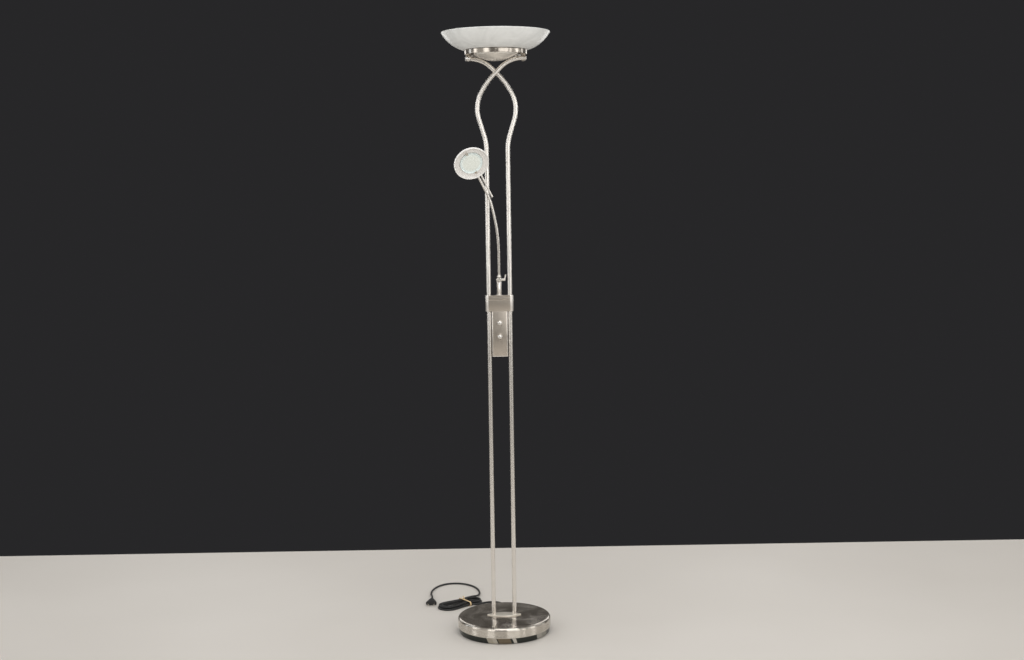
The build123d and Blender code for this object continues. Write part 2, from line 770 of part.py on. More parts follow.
# Two spring clips, screwed to the cup's lip, hold the lens at the top and bottom of the face.
with BuildPart() as head_clips:
    for way in (-1, 1):
        with BuildSketch(head_plane.offset(lens_front)):
            with Locations((0, way * (cup_radius + 0.6))):
                Rectangle(5.0, 8.0)
        extrude(amount=0.8)
        with BuildSketch(head_plane.offset(lens_front)):
            with Locations((0, way * (cup_radius + 1.6))):
                Rectangle(5.0, 1.2)
        extrude(amount=-2.6)
save(head_clips, "head_clips")

with BuildPart() as head_screws:
    with BuildSketch(head_plane.offset(lens_front + 0.8)):
        with Locations((0, cup_radius + 1.8), (0, -cup_radius - 1.8)):
            Circle(1.9)
    extrude(amount=1.2)
save(head_screws, "head_screws")

# The lamp inside is a small capsule in a ceramic socket on the cup's floor.
with BuildPart() as head_socket:
    with BuildSketch(head_plane.offset(-cup_depth + cup_wall)):
        RectangleRounded(15, 9, 1.5)
    extrude(amount=9)
save(head_socket, "head_socket")

with BuildPart() as head_bulb:
    with BuildSketch(head_section):
        with BuildLine():
            base_side = Line((0, -cup_depth + cup_wall + 9), (4.5, -cup_depth + cup_wall + 9))
            wall_side = Line(base_side @ 1, (4.5, -12.5))
            TangentArc((0, -8.0), wall_side @ 1, tangent=(1, 0))
            Line((0, -8.0), base_side @ 0)
        make_face()
    revolve(axis=head_axis)
save(head_bulb, "head_bulb")

# ---------------------------------------------------------------- ring, pan and glass bowl
# The ring is a band with an inner ledge and two welded lugs that the upper poles bolt to.
ledge_top = ring_top - 2.2
ledge_bottom = ledge_top - ledge_thickness
band_inner = ring_radius - ring_wall
lug_half_width = 7.0
lug_bottom = pole_end_height - 8.5
with BuildPart() as gallery_ring:
    with BuildSketch(Plane.XZ):
        with Locations(((band_inner + ring_radius) / 2, (ring_bottom + ring_top) / 2)):
            RectangleRounded(ring_wall, ring_top - ring_bottom, 0.9)
        with Locations(((ledge_radius + band_inner) / 2, ledge_top - ledge_thickness / 2)):
            Rectangle(band_inner - ledge_radius + 0.6, ledge_thickness)
    revolve(axis=Axis.Z)
    for side in (-1, 1):
        with BuildSketch(Plane.XZ.offset(-lug_thickness / 2)):
            with Locations((side * pole_end_bolt, (lug_bottom + ledge_bottom) / 2 + 0.3)):
                Rectangle(2 * lug_half_width, ledge_bottom - lug_bottom + 0.6)
            with Locations((side * (pole_end_bolt + band_inner) / 2, ring_bottom + 4)):
                Rectangle(band_inner - pole_end_bolt + 1.5, 8)
        extrude(amount=lug_thickness)
    lug_corners = edges().filter_by(Axis.Y).group_by(Axis.Z)[0]
    fillet(lug_corners, lug_half_width - 0.2)
    with BuildSketch(Plane.XZ.offset(-lug_thickness)):
        with Locations((-pole_end_bolt, pole_end_height), (pole_end_bolt, pole_end_height)):
            Circle(lug_bolt_diameter / 2 + running_gap)
    extrude(amount=2 * lug_thickness, mode=Mode.SUBTRACT)
    with BuildSketch(Plane.XY.offset(ledge_top)):
        with PolarLocations((ledge_radius + band_inner) / 2, 3, start_angle=90):
            Circle(1.5)
    extrude(amount=-ledge_thickness, mode=Mode.SUBTRACT)
save(gallery_ring, "gallery_ring")

# Each bolt has a flat head on the pole's side and a ball nut on the lug's other face.
ball_radius = 9.4
ball_flat = lug_thickness / 2 + 0.02
pole_face = pole_offset + pole_radius
with BuildPart() as lug_bolts:
    for side in (-1, 1):
        bolt_plane = Plane(
            origin=(-side * pole_end_bolt, side * (pole_face - 1.0), pole_end_height),
            x_dir=(1, 0, 0),
            z_dir=(0, -side, 0),
        )
        with BuildSketch(bolt_plane):
            Circle(lug_bolt_diameter / 2)
        extrude(amount=pole_face - 1.0 + lug_thickness / 2 + 10.0)
save(lug_bolts, "lug_bolts")

with BuildPart() as ball_nuts:
    for side in (-1, 1):
        ball_place = (-side * pole_end_bolt, -side * (ball_flat + ball_radius * 0.86), pole_end_height)
        with Locations(ball_place):
            Sphere(ball_radius)
        nut_plane = Plane(
            origin=(-side * pole_end_bolt, -side * ball_flat, pole_end_height),
            x_dir=(1, 0, 0),
            z_dir=(0, -side, 0),
        )
        with BuildSketch(nut_plane):
            Rectangle(60, 60)
        extrude(amount=-3 * ball_radius, mode=Mode.SUBTRACT)
        with BuildSketch(nut_plane):
            Circle(lug_bolt_diameter / 2 + running_gap)
        extrude(amount=12.0, mode=Mode.SUBTRACT)
save(ball_nuts, "ball_nuts")

# The pan is a spun dome under the lamp. Its flange rests on the ring's ledge.
pan_cap_radius = 63.0
pan_cap_top = ring_bottom - 0.2
flange_radius = band_inner - 0.4
with BuildPart() as lamp_pan:
    with BuildSketch(Plane.XZ):
        with BuildLine():
            cap_outer = TangentArc((0, pan_bottom), (pan_cap_radius, pan_cap_top), tangent=(1, 0))
            turn_up = Line(cap_outer @ 1, (pan_radius, ledge_top))
            lip_under = Line(turn_up @ 1, (flange_radius, ledge_top))
            lip_edge = Line(lip_under @ 1, (flange_radius, ledge_top + pan_wall))
            lip_over = Line(lip_edge @ 1, (pan_radius - pan_wall, ledge_top + pan_wall))
            turn_down = Line(lip_over @ 1, (pan_cap_radius - pan_wall, pan_cap_top + pan_wall))
            cap_inner = TangentArc((0, pan_bottom + pan_wall), turn_down @ 1, tangent=(1, 0))
            Line(cap_inner @ 0, cap_outer @ 0)
        make_face()
    revolve(axis=Axis.Z)
    with BuildSketch(Plane.XY.offset(ledge_top)):
        with PolarLocations((ledge_radius + band_inner) / 2, 3, start_angle=90):
            Circle(1.5)
    extrude(amount=2 * pan_wall, mode=Mode.SUBTRACT)
save(lamp_pan, "lamp_pan")

# A felt ring seats the glass on the band's top edge.
with BuildPart() as bowl_gasket:
    with BuildSketch(Plane.XY.offset(ring_top)):
        Circle(ring_radius - 0.2)
        Circle(band_inner + 0.2, mode=Mode.SUBTRACT)
    extrude(amount=gasket_thickness)
save(bowl_gasket, "bowl_gasket")

with BuildPart() as pan_screws:
    with BuildSketch(Plane.XY.offset(ledge_top + pan_wall)):
        with PolarLocations((ledge_radius + band_inner) / 2, 3, start_angle=90):
            Circle(2.2)
    extrude(amount=0.9)
    with BuildSketch(Plane.XY.offset(ledge_bottom - 3)):
        with PolarLocations((ledge_radius + band_inner) / 2, 3, start_angle=90):
            Circle(1.4)
    extrude(amount=ledge_top + pan_wall - ledge_bottom + 3)
save(pan_screws, "pan_screws")

# The bowl is one spun glass dish with an open foot that stands on the gasket.
foot = ring_top + gasket_thickness
foot_inner = ledge_radius + 1.0
with BuildPart() as glass_bowl:
    with BuildSketch(Plane.XZ):
        with BuildLine():
            seat = Line((foot_inner, foot), (96.0, foot))
            belly = ThreePointArc(seat @ 1, (134.8, 1768.4), (bowl_rim_radius, bowl_height - 1.6))
            rim = ThreePointArc(
                belly @ 1, (bowl_rim_radius - 2.0, bowl_height), (bowl_rim_radius - 4.2, bowl_height - 0.8)
            )
            hollow = ThreePointArc(rim @ 1, (131.6, 1772.6), (95.5, foot + bowl_glass))
            floor_top = Line(hollow @ 1, (foot_inner, foot + bowl_glass))
            Line(floor_top @ 1, seat @ 0)
        make_face()
    revolve(axis=Axis.Z)
save(glass_bowl, "glass_bowl")

# ---------------------------------------------------------------- main lamp
# A pressed bridge spans the pan and holds two ceramic end sockets with a linear halogen tube.
bridge_half = 78.0
bridge_width = 24.0
bridge_gauge = 1.5
bridge_base = ledge_top + pan_wall
upright_place = 70.0
lamp_height = bridge_base + 24.0
with BuildPart() as lamp_bridge:
    with BuildSketch(Plane.XY.offset(bridge_base)):
        Rectangle(2 * bridge_half, bridge_width)
    extrude(amount=bridge_gauge)
    for side in (-1, 1):
        with BuildSketch(Plane.YZ.offset(side * upright_place)):
            with Locations((0, (bridge_base + lamp_height + 8) / 2)):
                Rectangle(16, lamp_height + 8 - bridge_base)
        extrude(amount=side * bridge_gauge)
save(lamp_bridge, "lamp_bridge")

with BuildPart() as lamp_sockets:
    for side in (-1, 1):
        with BuildSketch(Plane.YZ.offset(side * upright_place)):
            with Locations((0, lamp_height)):
                RectangleRounded(14, 15, 2)
        extrude(amount=-side * 15)
        with BuildSketch(Plane.YZ.offset(side * (upright_place - 15))):
            with Locations((0, lamp_height)):
                Circle(5.2)
        extrude(amount=side * 8, mode=Mode.SUBTRACT)
save(lamp_sockets, "lamp_sockets")

with BuildPart() as halogen_tube:
    with BuildSketch(Plane.YZ.offset(-upright_place + 7.1)):
        with Locations((0, lamp_height)):
            Circle(3.6)
    extrude(amount=2 * (upright_place - 7.1))
    with BuildSketch(Plane.YZ.offset(-40)):
        with Locations((0, lamp_height)):
            Circle(5.5)
    extrude(amount=80)
save(halogen_tube, "halogen_tube")

# ---------------------------------------------------------------- mains lead
# The lead leaves the back of the plinth, lies on the floor and runs into a tied hank. It
# leaves the hank's other side, makes one wide loop on the floor and ends in a flat plug.
cord_radius = cord_diameter / 2
plinth_back = plinth_foot_radius + (plinth_top_radius - plinth_foot_radius) / 2
gland_plane = Plane(origin=(0, plinth_back, cord_exit_height), x_dir=(1, 0, 0), z_dir=(0, 1, 0))
with BuildPart() as cord_gland:
    with BuildSketch(gland_plane.offset(-4.5)):
        Circle(gland_neck_diameter / 2 - 0.05)
    extrude(amount=6.5)
    with BuildSketch(gland_plane.offset(-4.5)):
        Circle(gland_lip_diameter / 2)
    extrude(amount=1.8)
    with BuildSketch(gland_plane.offset(1.3)):
        Circle(gland_flange_diameter / 2)
    with BuildSketch(gland_plane.offset(1.3 + boot_length)):
        Circle(cord_radius + 0.7)
    loft()
save(cord_gland, "cord_gland")


def cord_tube(route, name):
    """Sweep the lead along straight runs and tangent arcs, and print the arcs' radii."""
    points = [Vector(*point) for point in route]
    radii = []
    for before, corner, after in zip(points, points[1:], points[2:]):
        bend = radians((corner - before).get_angle(after - corner))
        shorter = min((corner - before).length, (after - corner).length)
        radii.append(0.45 * shorter / tan(bend / 2))
    print(name, "radii", [round(radius) for radius in radii])
    with BuildPart() as tube:
        with BuildLine() as path:
            FilletPolyline(*route, radius=radii)
        with BuildSketch(Plane(origin=route[0], z_dir=points[1] - points[0])):
            Circle(cord_radius)
        sweep()
    length = sum(edge.length for edge in path.edges())
    section = cord_radius**2 * 3.14159265
    print(name, "length", round(length), "volume ratio", round(tube.part.volume / (section * length), 4))
    save(tube, name)
    return length


# Stations round one turn of the hank: place along it, side, whether at the waist, way of travel.
right_end = (hank_waist_right + hank_waist_left) / 2
waist_place = right_end - hank_waist_right
hank_turn_stations = [
    (right_end, -1, False, (-1, 0)),
    (waist_place, -1, True, (-1, 0)),
    (-right_end, -1, False, (-1, 0)),
    (-right_end, 0, False, (0, 1)),
    (-right_end, 1, False, (1, 0)),
    (waist_place, 1, True, (1, 0)),
    (right_end, 1, False, (1, 0)),
    (right_end, 0, False, (0, -1)),
]
hank_angle = radians(hank_turn)


def hank_point(along, across, height):
    """A point of the hank in the lamp's frame."""
    return Vector(
        hank_centre[0] + along * cos(hank_angle) - across * sin(hank_angle),
        hank_centre[1] + along * sin(hank_angle) + across * cos(hank_angle),
        height,
    )


def hank_station(index):
    """Place and way of travel of the wire at a numbered station of the hank."""
    place, side, at_waist, (way_along, way_across) = hank_turn_stations[index % 8]
    inward = hank_pitch * min(index, 2 * hank_climb_station - index) / 8
    radius = hank_outer_radius - inward
    across = side * (radius - (hank_waist_pinch if at_waist else 0))
    along = place if side else place + (radius if place > 0 else -radius)
    climbed = min(max((index - hank_climb_station + 1) / 2, 0), 1)
    height = cord_radius + climbed * hank_layer_step + (hank_waist_lift if at_waist else 0)
    way = hank_point(way_along, way_across, 0) - hank_point(0, 0, 0)
    return hank_point(along, across, height), way


def biarc(start, start_way, end, end_way):
    """Two tangent arcs from start to end: the point where they meet and the way there."""
    chord = end - start
    ways = start_way + end_way
    a = 2 * (1 - start_way.dot(end_way))
    b = 2 * chord.dot(ways)
    c = -chord.dot(chord)
    reach = -c / b if abs(a) < 1e-9 else (-b + sqrt(b * b - 4 * a * c)) / (2 * a)
    first = start + start_way * reach
    last = end - end_way * reach
    return (first + last) / 2, (last - first).normalized()


stations = [hank_station(index) for index in range(hank_stations + 1)]
hank_start, hank_start_way = stations[0]
hank_end, hank_end_way = stations[-1]
hank_entry = hank_start - hank_start_way * cord_diameter
hank_exit = hank_end + hank_end_way * cord_diameter
with BuildPart() as cord_hank:
    with BuildLine() as hank_path:
        Line(hank_entry, hank_start)
        for (start, start_way), (end, end_way) in zip(stations, stations[1:]):
            meet, meet_way = biarc(start, start_way, end, end_way)
            TangentArc(start, meet, tangent=start_way)
            TangentArc(meet, end, tangent=meet_way)
        Line(hank_end, hank_exit)
    with BuildSketch(Plane(origin=hank_entry, z_dir=hank_start_way)):
        Circle(cord_radius)
    sweep()
save(cord_hank, "cord_hank")

# The least gap of the hank's wire to itself, on points about 3 mm apart.
hank_length = sum(edge.length for edge in hank_path.edges())
samples = []
travelled = 0.0
for edge in hank_path.edges():
    count = max(2, round(edge.length / 3))
    for step in range(count):
        samples.append((travelled + edge.length * step / count, edge.position_at(step / count)))
    travelled += edge.length
least = min(
    (second - first).length
    for number, (place, first) in enumerate(samples)
    for later, second in samples[number + 1 :]
    if later - place > 40
)
print("hank length", round(hank_length), "least gap to itself", round(least - cord_diameter, 2))

# A paper twist tie holds the hank's waist and ends in a twisted tail.
waist_outer = hank_outer_radius - hank_waist_pinch + cord_radius + 0.3
waist_top = cord_diameter + hank_layer_step + hank_waist_lift + 0.3
waist_bottom = hank_waist_lift - 0.1
tie_centre = hank_point(waist_place, 0, 0)
tie_plane = Plane(origin=tie_centre, x_dir=hank_point(0, 1, 0) - hank_point(0, 0, 0), z_dir=-hank_start_way)
with BuildPart() as twist_tie:
    with BuildSketch(tie_plane.offset(-tie_width / 2)):
        with Locations((0, (waist_top + waist_bottom) / 2)):
            tie_across = 2 * waist_outer + hank_pitch / 2
            tie_height = waist_top - waist_bottom
            RectangleRounded(tie_across + 2 * tie_gauge, tie_height + 2 * tie_gauge, 6.0)
            RectangleRounded(tie_across, tie_height, 6.0 - tie_gauge, mode=Mode.SUBTRACT)
    extrude(amount=tie_width)
    with BuildSketch(tie_plane.offset(-1.2)):
        with Locations((6, waist_top + tie_gauge + tie_tail / 2 - 1)):
            RectangleRounded(3.4, tie_tail, 1.2)
    extrude(amount=2.4)
save(twist_tie, "twist_tie")

lead_route = [
    (0.0, plinth_back + 1.3 + boot_length, cord_exit_height),
    (0.0, 180.0, cord_exit_height),
    (0.3, 204.0, 4.7),
    (0.8, 232.0, cord_radius),
    (-0.6, 262.0, cord_radius),
    (-12.0, 283.5, cord_radius),
    (-32.5, 293.8, cord_radius),
    tuple(hank_entry - hank_start_way * 27.0),
    tuple(hank_entry),
]
lead_length = cord_tube(lead_route, "cord_lead")

plug_start = (-236.0, 312.0, plug_height / 2)
loop_route = [
    tuple(hank_exit),
    tuple(hank_exit + hank_end_way * 17.0),
    (-89.5, 353.5, 6.6),
    (-82.5, 375.0, 3.6),
    (-80.0, 401.0, cord_radius),
    (-86.0, 442.0, cord_radius),
    (-103.0, 482.0, cord_radius),
    (-133.0, 512.0, cord_radius),
    (-171.0, 522.0, cord_radius),
    (-206.0, 508.0, cord_radius),
    (-229.0, 474.0, cord_radius),
    (-240.5, 436.0, cord_radius),
    (-242.5, 402.0, 3.6),
    (-240.0, 375.0, 5.4),
    (plug_start[0], plug_start[1] + 40, plug_start[2]),
    (plug_start[0], plug_start[1] + 20, plug_start[2]),
]
loop_length = cord_tube(loop_route, "cord_loop")
print("whole lead", round(lead_length + hank_length + loop_length))

# The flat two-pin plug, with its moulded tail, lies on its side face.
plug_plane = Plane(origin=plug_start, x_dir=(1, 0, 0), z_dir=(0, -1, 0))
with BuildPart() as plug_body:
    with BuildSketch(plug_plane):
        RectangleRounded(plug_width * 0.42, plug_height * 0.86, 4.5)
    with BuildSketch(plug_plane.offset(plug_length)):
        RectangleRounded(plug_width, plug_height, 5.0)
    loft()
    with BuildSketch(plug_plane):
        Circle(5.4)
    with BuildSketch(plug_plane.offset(-20)):
        Circle(cord_radius + 0.7)
    loft()
save(plug_body, "plug_body")

with BuildPart() as plug_pins:
    for side in (-1, 1):
        with BuildSketch(plug_plane.offset(plug_length)):
            with Locations((side * plug_pin_spacing / 2, 0)):
                Circle(plug_pin_diameter / 2)
        extrude(amount=plug_pin_length)
    fillet(faces().group_by(Axis.Y)[0].edges(), 1.2)
save(plug_pins, "plug_pins")
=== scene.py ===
from math import acos, atan2, cos, hypot, pi, radians, sin, tan

import bmesh
import bpy
from mathutils import Matrix, Vector


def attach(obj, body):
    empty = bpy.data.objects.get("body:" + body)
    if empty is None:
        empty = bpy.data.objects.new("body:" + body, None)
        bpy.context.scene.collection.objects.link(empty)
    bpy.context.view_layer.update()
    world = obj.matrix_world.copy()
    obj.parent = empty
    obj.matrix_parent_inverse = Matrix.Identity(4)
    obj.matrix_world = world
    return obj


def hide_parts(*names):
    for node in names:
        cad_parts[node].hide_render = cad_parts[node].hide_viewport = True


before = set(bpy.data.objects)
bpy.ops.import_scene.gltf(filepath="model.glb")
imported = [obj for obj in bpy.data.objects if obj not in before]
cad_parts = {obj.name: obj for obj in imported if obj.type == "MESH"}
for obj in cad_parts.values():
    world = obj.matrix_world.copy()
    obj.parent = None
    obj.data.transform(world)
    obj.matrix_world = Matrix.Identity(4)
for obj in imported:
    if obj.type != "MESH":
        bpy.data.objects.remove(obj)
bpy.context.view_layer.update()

# ------------------------------------------------------------------ studio
# A plain pale floor that ends a metre behind the lamp, darkness beyond it, and soft boxes
# standing round the lamp. The camera stands 4.3 m in front, 1.36 m up, and looks slightly down.
scene = bpy.context.scene
scene.view_settings.view_transform = "Standard"


def feed(source, target):
    """Put a number, a colour or another node's socket into an input."""
    if isinstance(source, bpy.types.NodeSocket):
        target.id_data.links.new(source, target)
    elif target.type == "RGBA":
        target.default_value = (*source, 1)
    else:
        target.default_value = source


def add_node(tree, kind, *values, **settings):
    """A new node. Settings fill its properties and named inputs, values its inputs in order."""
    node = tree.nodes.new(kind)
    for key, value in settings.items():
        if hasattr(node, key):
            setattr(node, key, value)
        else:
            feed(value, node.inputs[key.replace("_", " ")])
    for value, socket in zip(values, node.inputs):
        feed(value, socket)
    return node


def maths(operation, *values):
    """The result of a Math node on numbers and sockets."""
    tree = next(value.id_data for value in values if isinstance(value, bpy.types.NodeSocket))
    return add_node(tree, "ShaderNodeMath", *values, operation=operation).outputs[0]


def noise(place, scale, detail, **settings):
    """The value of a noise texture at a place."""
    return add_node(place.id_data, "ShaderNodeTexNoise", Vector=place, Scale=scale, Detail=detail,
                    **settings).outputs["Fac"]


def ramp(factor, *stops, interpolation="LINEAR"):
    """The colour that a factor picks from stops of place and tone."""
    node = add_node(factor.id_data, "ShaderNodeValToRGB", factor)
    node.color_ramp.interpolation = interpolation
    for number, (place, tone) in enumerate(stops):
        elements = node.color_ramp.elements
        stop = elements[number] if number < 2 else elements.new(place)
        stop.position = place
        stop.color = (*tone, 1)
    return node.outputs["Color"]


def bump(height, strength, distance):
    """The normal of a surface with small relief."""
    return add_node(height.id_data, "ShaderNodeBump", Strength=strength, Distance=distance,
                    Height=height).outputs["Normal"]


def principled(name, **settings):
    """A new material; returns it, its shader's inputs and the place on the piece."""
    material = bpy.data.materials.new(name)
    material.use_nodes = True
    inputs = material.node_tree.nodes["Principled BSDF"].inputs
    for key, value in settings.items():
        inputs[key.replace("_", " ")].default_value = value
    return material, inputs, add_node(material.node_tree, "ShaderNodeTexCoord").outputs["Object"]


def speckled(name, grain, first, last, span=(0, 1), relief=None, rough=None, **settings):
    """A plain material. Grain is the scale and detail of the noise that runs from the first tone
    to the last, relief the same with its strength and distance, rough a factor and a base."""
    material, inputs, place = principled(name, **settings)
    speck = noise(place, *grain)
    feed(ramp(speck, (span[0], first), (span[1], last)), inputs["Base Color"])
    if relief:
        feed(bump(noise(place, *relief[:2]), *relief[2:]), inputs["Normal"])
    if rough:
        feed(maths("MULTIPLY_ADD", speck, *rough), inputs["Roughness"])
    return material


def put(name, data):
    """A new object in the scene."""
    thing = bpy.data.objects.new(name, data)
    scene.collection.objects.link(thing)
    return thing


room = bpy.data.worlds.new("dark_room")
scene.world = room
room.use_nodes = True
room.node_tree.nodes.clear()
ray = add_node(room.node_tree, "ShaderNodeLightPath").outputs
ray_way = add_node(room.node_tree, "ShaderNodeTexCoord").outputs["Generated"]
ray_depth = add_node(room.node_tree, "ShaderNodeSeparateXYZ", ray_way).outputs[1]
# what metal mirrors is dim straight in front of the lamp, bright beside that, and dark behind
room_tone = ramp(maths("MULTIPLY_ADD", ray_depth, 0.5, 0.5), (0.05, (0.20, 0.19, 0.175)),
                 (0.13, (0.50, 0.485, 0.46)), (0.40, (0.44, 0.425, 0.40)), (0.62, (0.105, 0.098, 0.090)))
mirrored = add_node(room.node_tree, "ShaderNodeBackground", room_tone, 1.0).outputs[0]
fill = add_node(room.node_tree, "ShaderNodeBackground", (1.0, 0.985, 0.965), 0.5).outputs[0]
backdrop = add_node(room.node_tree, "ShaderNodeBackground", (0.0205, 0.0202, 0.0215), 1.0).outputs[0]
lit = add_node(room.node_tree, "ShaderNodeMixShader", ray["Is Glossy Ray"], fill, mirrored).outputs[0]
ray_sees = maths("MAXIMUM", ray["Is Camera Ray"], ray["Is Transmission Ray"])
whole_room = add_node(room.node_tree, "ShaderNodeMixShader", ray_sees, lit, backdrop).outputs[0]
add_node(room.node_tree, "ShaderNodeOutputWorld", whole_room)

floor_side, floor_front, floor_back = 2.6, -3.4, 1.0
floor_mesh = bpy.data.meshes.new("floor")
floor_mesh.from_pydata([(-floor_side, floor_front, 0), (floor_side, floor_front, 0),
                        (floor_side, floor_back, 0), (-floor_side, floor_back, 0)], [], [(0, 1, 2, 3)])
floor_mesh.materials.append(speckled("pale_floor", (1.3, 2.0), (0.60, 0.565, 0.52), (0.68, 0.645, 0.60),
                                     Roughness=0.55))
floor = put("floor", floor_mesh)


def soft_box(name, place, aim_height, width, height, power, colour):
    """A rectangular area light that faces the lamp."""
    light = bpy.data.lights.new(name, "AREA")
    light.shape = "RECTANGLE"
    light.size, light.size_y = width, height
    light.energy = power
    light.color = colour
    box = put(name, light)
    box.location = place
    box.rotation_euler = (Vector((0, 0, aim_height)) - box.location).to_track_quat("-Z", "Y").to_euler()
    box.visible_camera = False


box_reach = 2.8
warm, pale, cool = (1.0, 0.985, 0.965), (1.0, 0.99, 0.98), (0.9, 0.95, 1.0)
# name, bearing from the camera's side in degrees, width, height, middle height, power, colour
for box_name, bearing, width, height, middle, power, colour in (
        ("left_box", -34, 0.95, 2.1, 1.75, 11.0, warm), ("right_box", 23, 1.7, 2.1, 1.75, 18.0, warm),
        ("right_strip", 50, 0.3, 2.1, 1.75, 3.5, warm), ("left_side", -80, 0.6, 2.1, 1.75, 8.0, pale),
        ("right_side", 77, 0.6, 2.1, 1.75, 8.0, pale), ("left_far", -108, 0.5, 2.1, 1.75, 5.5, cool),
        ("right_far", 112, 0.5, 2.1, 1.75, 5.0, pale), ("back_left", -152, 0.8, 2.0, 1.8, 8.0, pale),
        ("back_right", 155, 0.8, 2.0, 1.8, 8.0, pale)):
    soft_box(box_name, (box_reach * sin(radians(bearing)), -box_reach * cos(radians(bearing)), middle), 1.0,
             width, height, power, colour)
soft_box("ceiling_box", (0.2, -0.9, 3.4), 0.9, 2.2, 1.6, 26.0, (1.0, 1.0, 1.0))

camera_data = bpy.data.cameras.new("camera")
camera_data.sensor_width = 36.0
camera_data.lens = 50.73
camera = put("camera", camera_data)
camera_place = (0, -4.2935, 1.3581)
pitch, yaw, tilt = radians(5.804), radians(0.482), radians(-0.83)
ahead = Vector((sin(yaw) * cos(pitch), cos(yaw) * cos(pitch), -sin(pitch)))
level_right = Vector((cos(yaw), -sin(yaw), 0))
level_up = level_right.cross(ahead)
right = level_right * cos(tilt) + level_up * sin(tilt)
upward = level_up * cos(tilt) - level_right * sin(tilt)
camera.matrix_world = Matrix.Translation(camera_place) @ Matrix((right, upward, -ahead)).transposed().to_4x4()
scene.camera = camera

# ------------------------------------------------------------------ mains lead
# One length of 6 mm round dark cord. It leaves the boot, runs to a hank tied at its waist,
# and comes out again in one wide loop on the floor that ends in the plug.
cord_dark = speckled("cord_sheath", (55.0, 5.0), (0.011, 0.011, 0.012), (0.035, 0.034, 0.033),
                     span=(0.42, 0.75), relief=(900.0, 3.0, 0.12, 0.0002), rough=(0.3, 0.28))
cord_width = 0.006
lead_points = [
    (0.0, 0.1638, 0.0090), (0.0, 0.1800, 0.0090), (0.0003, 0.2040, 0.0047), (0.0008, 0.2320, 0.0030),
    (-0.0006, 0.2620, 0.0030), (-0.0120, 0.2835, 0.0030), (-0.0325, 0.2938, 0.0030),
    (-0.0550, 0.2917, 0.0030), (-0.0768, 0.2758, 0.0030),
]
loop_points = [
    (-0.1014, 0.3385, 0.0097), (-0.0895, 0.3535, 0.0066), (-0.0825, 0.3750, 0.0036),
    (-0.0800, 0.4010, 0.0030), (-0.0860, 0.4420, 0.0030), (-0.1030, 0.4820, 0.0030),
    (-0.1330, 0.5120, 0.0030), (-0.1710, 0.5220, 0.0030), (-0.2060, 0.5080, 0.0030),
    (-0.2290, 0.4740, 0.0030), (-0.2405, 0.4360, 0.0030), (-0.2425, 0.4020, 0.0036),
    (-0.2400, 0.3750, 0.0054), (-0.2360, 0.3520, 0.0070), (-0.2360, 0.3320, 0.0070),
]

# The hank: flat loops round a middle line, drawn in at the tied waist, in two layers. The turns
# step inwards until the spiral reverses, climb one layer there, and step outwards again.
hank_middle = Vector((-0.1408, 0.2720, 0.0))
hank_turned = radians(36.0)
hank_along = Vector((cos(hank_turned), sin(hank_turned), 0))
hank_across = Vector((-sin(hank_turned), cos(hank_turned), 0))
hank_half = 0.048
hank_waist = 0.018
hank_outer = 0.0345
hank_step = 0.0078
hank_layer = 0.0067
hank_pinch = 0.0095
hank_lift = 0.0014
hank_last = 30
hank_climb = 17
# place along, side, whether at the waist, way of travel, reach of the points before and after
# (0 takes the reach of a round end)
hank_round = [
    (hank_half, -1, False, (-1, 0), 0, 0.006),
    (hank_waist, -1, True, (-1, 0), 0.007, 0.010),
    (-hank_half, -1, False, (-1, 0), 0.012, 0),
    (-hank_half, 0, False, (0, 1), 0, 0),
    (-hank_half, 1, False, (1, 0), 0, 0.012),
    (hank_waist, 1, True, (1, 0), 0.010, 0.007),
    (hank_half, 1, False, (1, 0), 0.006, 0),
    (hank_half, 0, False, (0, -1), 0, 0),
]
hank_points = []
for station in range(hank_last + 1):
    along, side, at_waist, (way_x, way_y), before, after = hank_round[station % 8]
    radius = hank_outer - hank_step * min(station, 2 * hank_climb - station) / 8
    across = side * (radius - (hank_pinch if at_waist else 0))
    along = along if side else along + (radius if along > 0 else -radius)
    climbed = min(max((station - hank_climb + 1) / 2, 0), 1)
    level = cord_width / 2 + climbed * hank_layer + (hank_lift if at_waist else 0)
    bend_reach = tan(pi / 8) * radius
    for reach in (-(before or bend_reach), after or bend_reach):
        if (station == 0 and reach < 0) or (station == hank_last and reach > 0):
            continue
        hank_points.append(hank_middle + hank_along * (along + way_x * reach)
                           + hank_across * (across + way_y * reach) + Vector((0, 0, level)))


def curve_through(name, kind, places):
    """A curve object of one spline through the places; returns the object and the spline."""
    curve = bpy.data.curves.new(name, "CURVE")
    curve.dimensions = "3D"
    spline = curve.splines.new(kind)
    spline.points.add(len(places) - 1)
    for point, place in zip(spline.points, places):
        point.co = (*place, 1.0)
    return put(name, curve), spline


mains_lead, lead_spline = curve_through("mains_lead", "NURBS", lead_points + hank_points + loop_points)
lead_spline.order_u = 3
lead_spline.use_endpoint_u = True
mains_lead.data.bevel_depth = cord_width / 2
mains_lead.data.bevel_resolution = 5
mains_lead.data.resolution_u = 8
mains_lead.data.use_fill_caps = True
mains_lead.data.materials.append(cord_dark)
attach(mains_lead, "stand")
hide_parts("cord_lead", "cord_hank", "cord_loop")

# The lead leaves the base through a rubber boot: a flange against the tray's wall, then a taper
# with cross slots that lets it flex.
rubber = speckled("boot_rubber", (120.0, 4.0), (0.010, 0.010, 0.011), (0.030, 0.029, 0.028),
                  relief=(1600.0, 2.0, 0.2, 0.0002), Roughness=0.5)


def finished(name, work, paint, crease=32):
    """Turn a bmesh into a smooth object that stays sharp where its faces meet at more than crease."""
    bmesh.ops.recalc_face_normals(work, faces=work.faces)
    mesh = bpy.data.meshes.new(name)
    work.to_mesh(mesh)
    work.free()
    mesh.shade_smooth()
    mesh.set_sharp_from_angle(angle=radians(crease))
    mesh.materials.append(paint)
    return put(name, mesh)


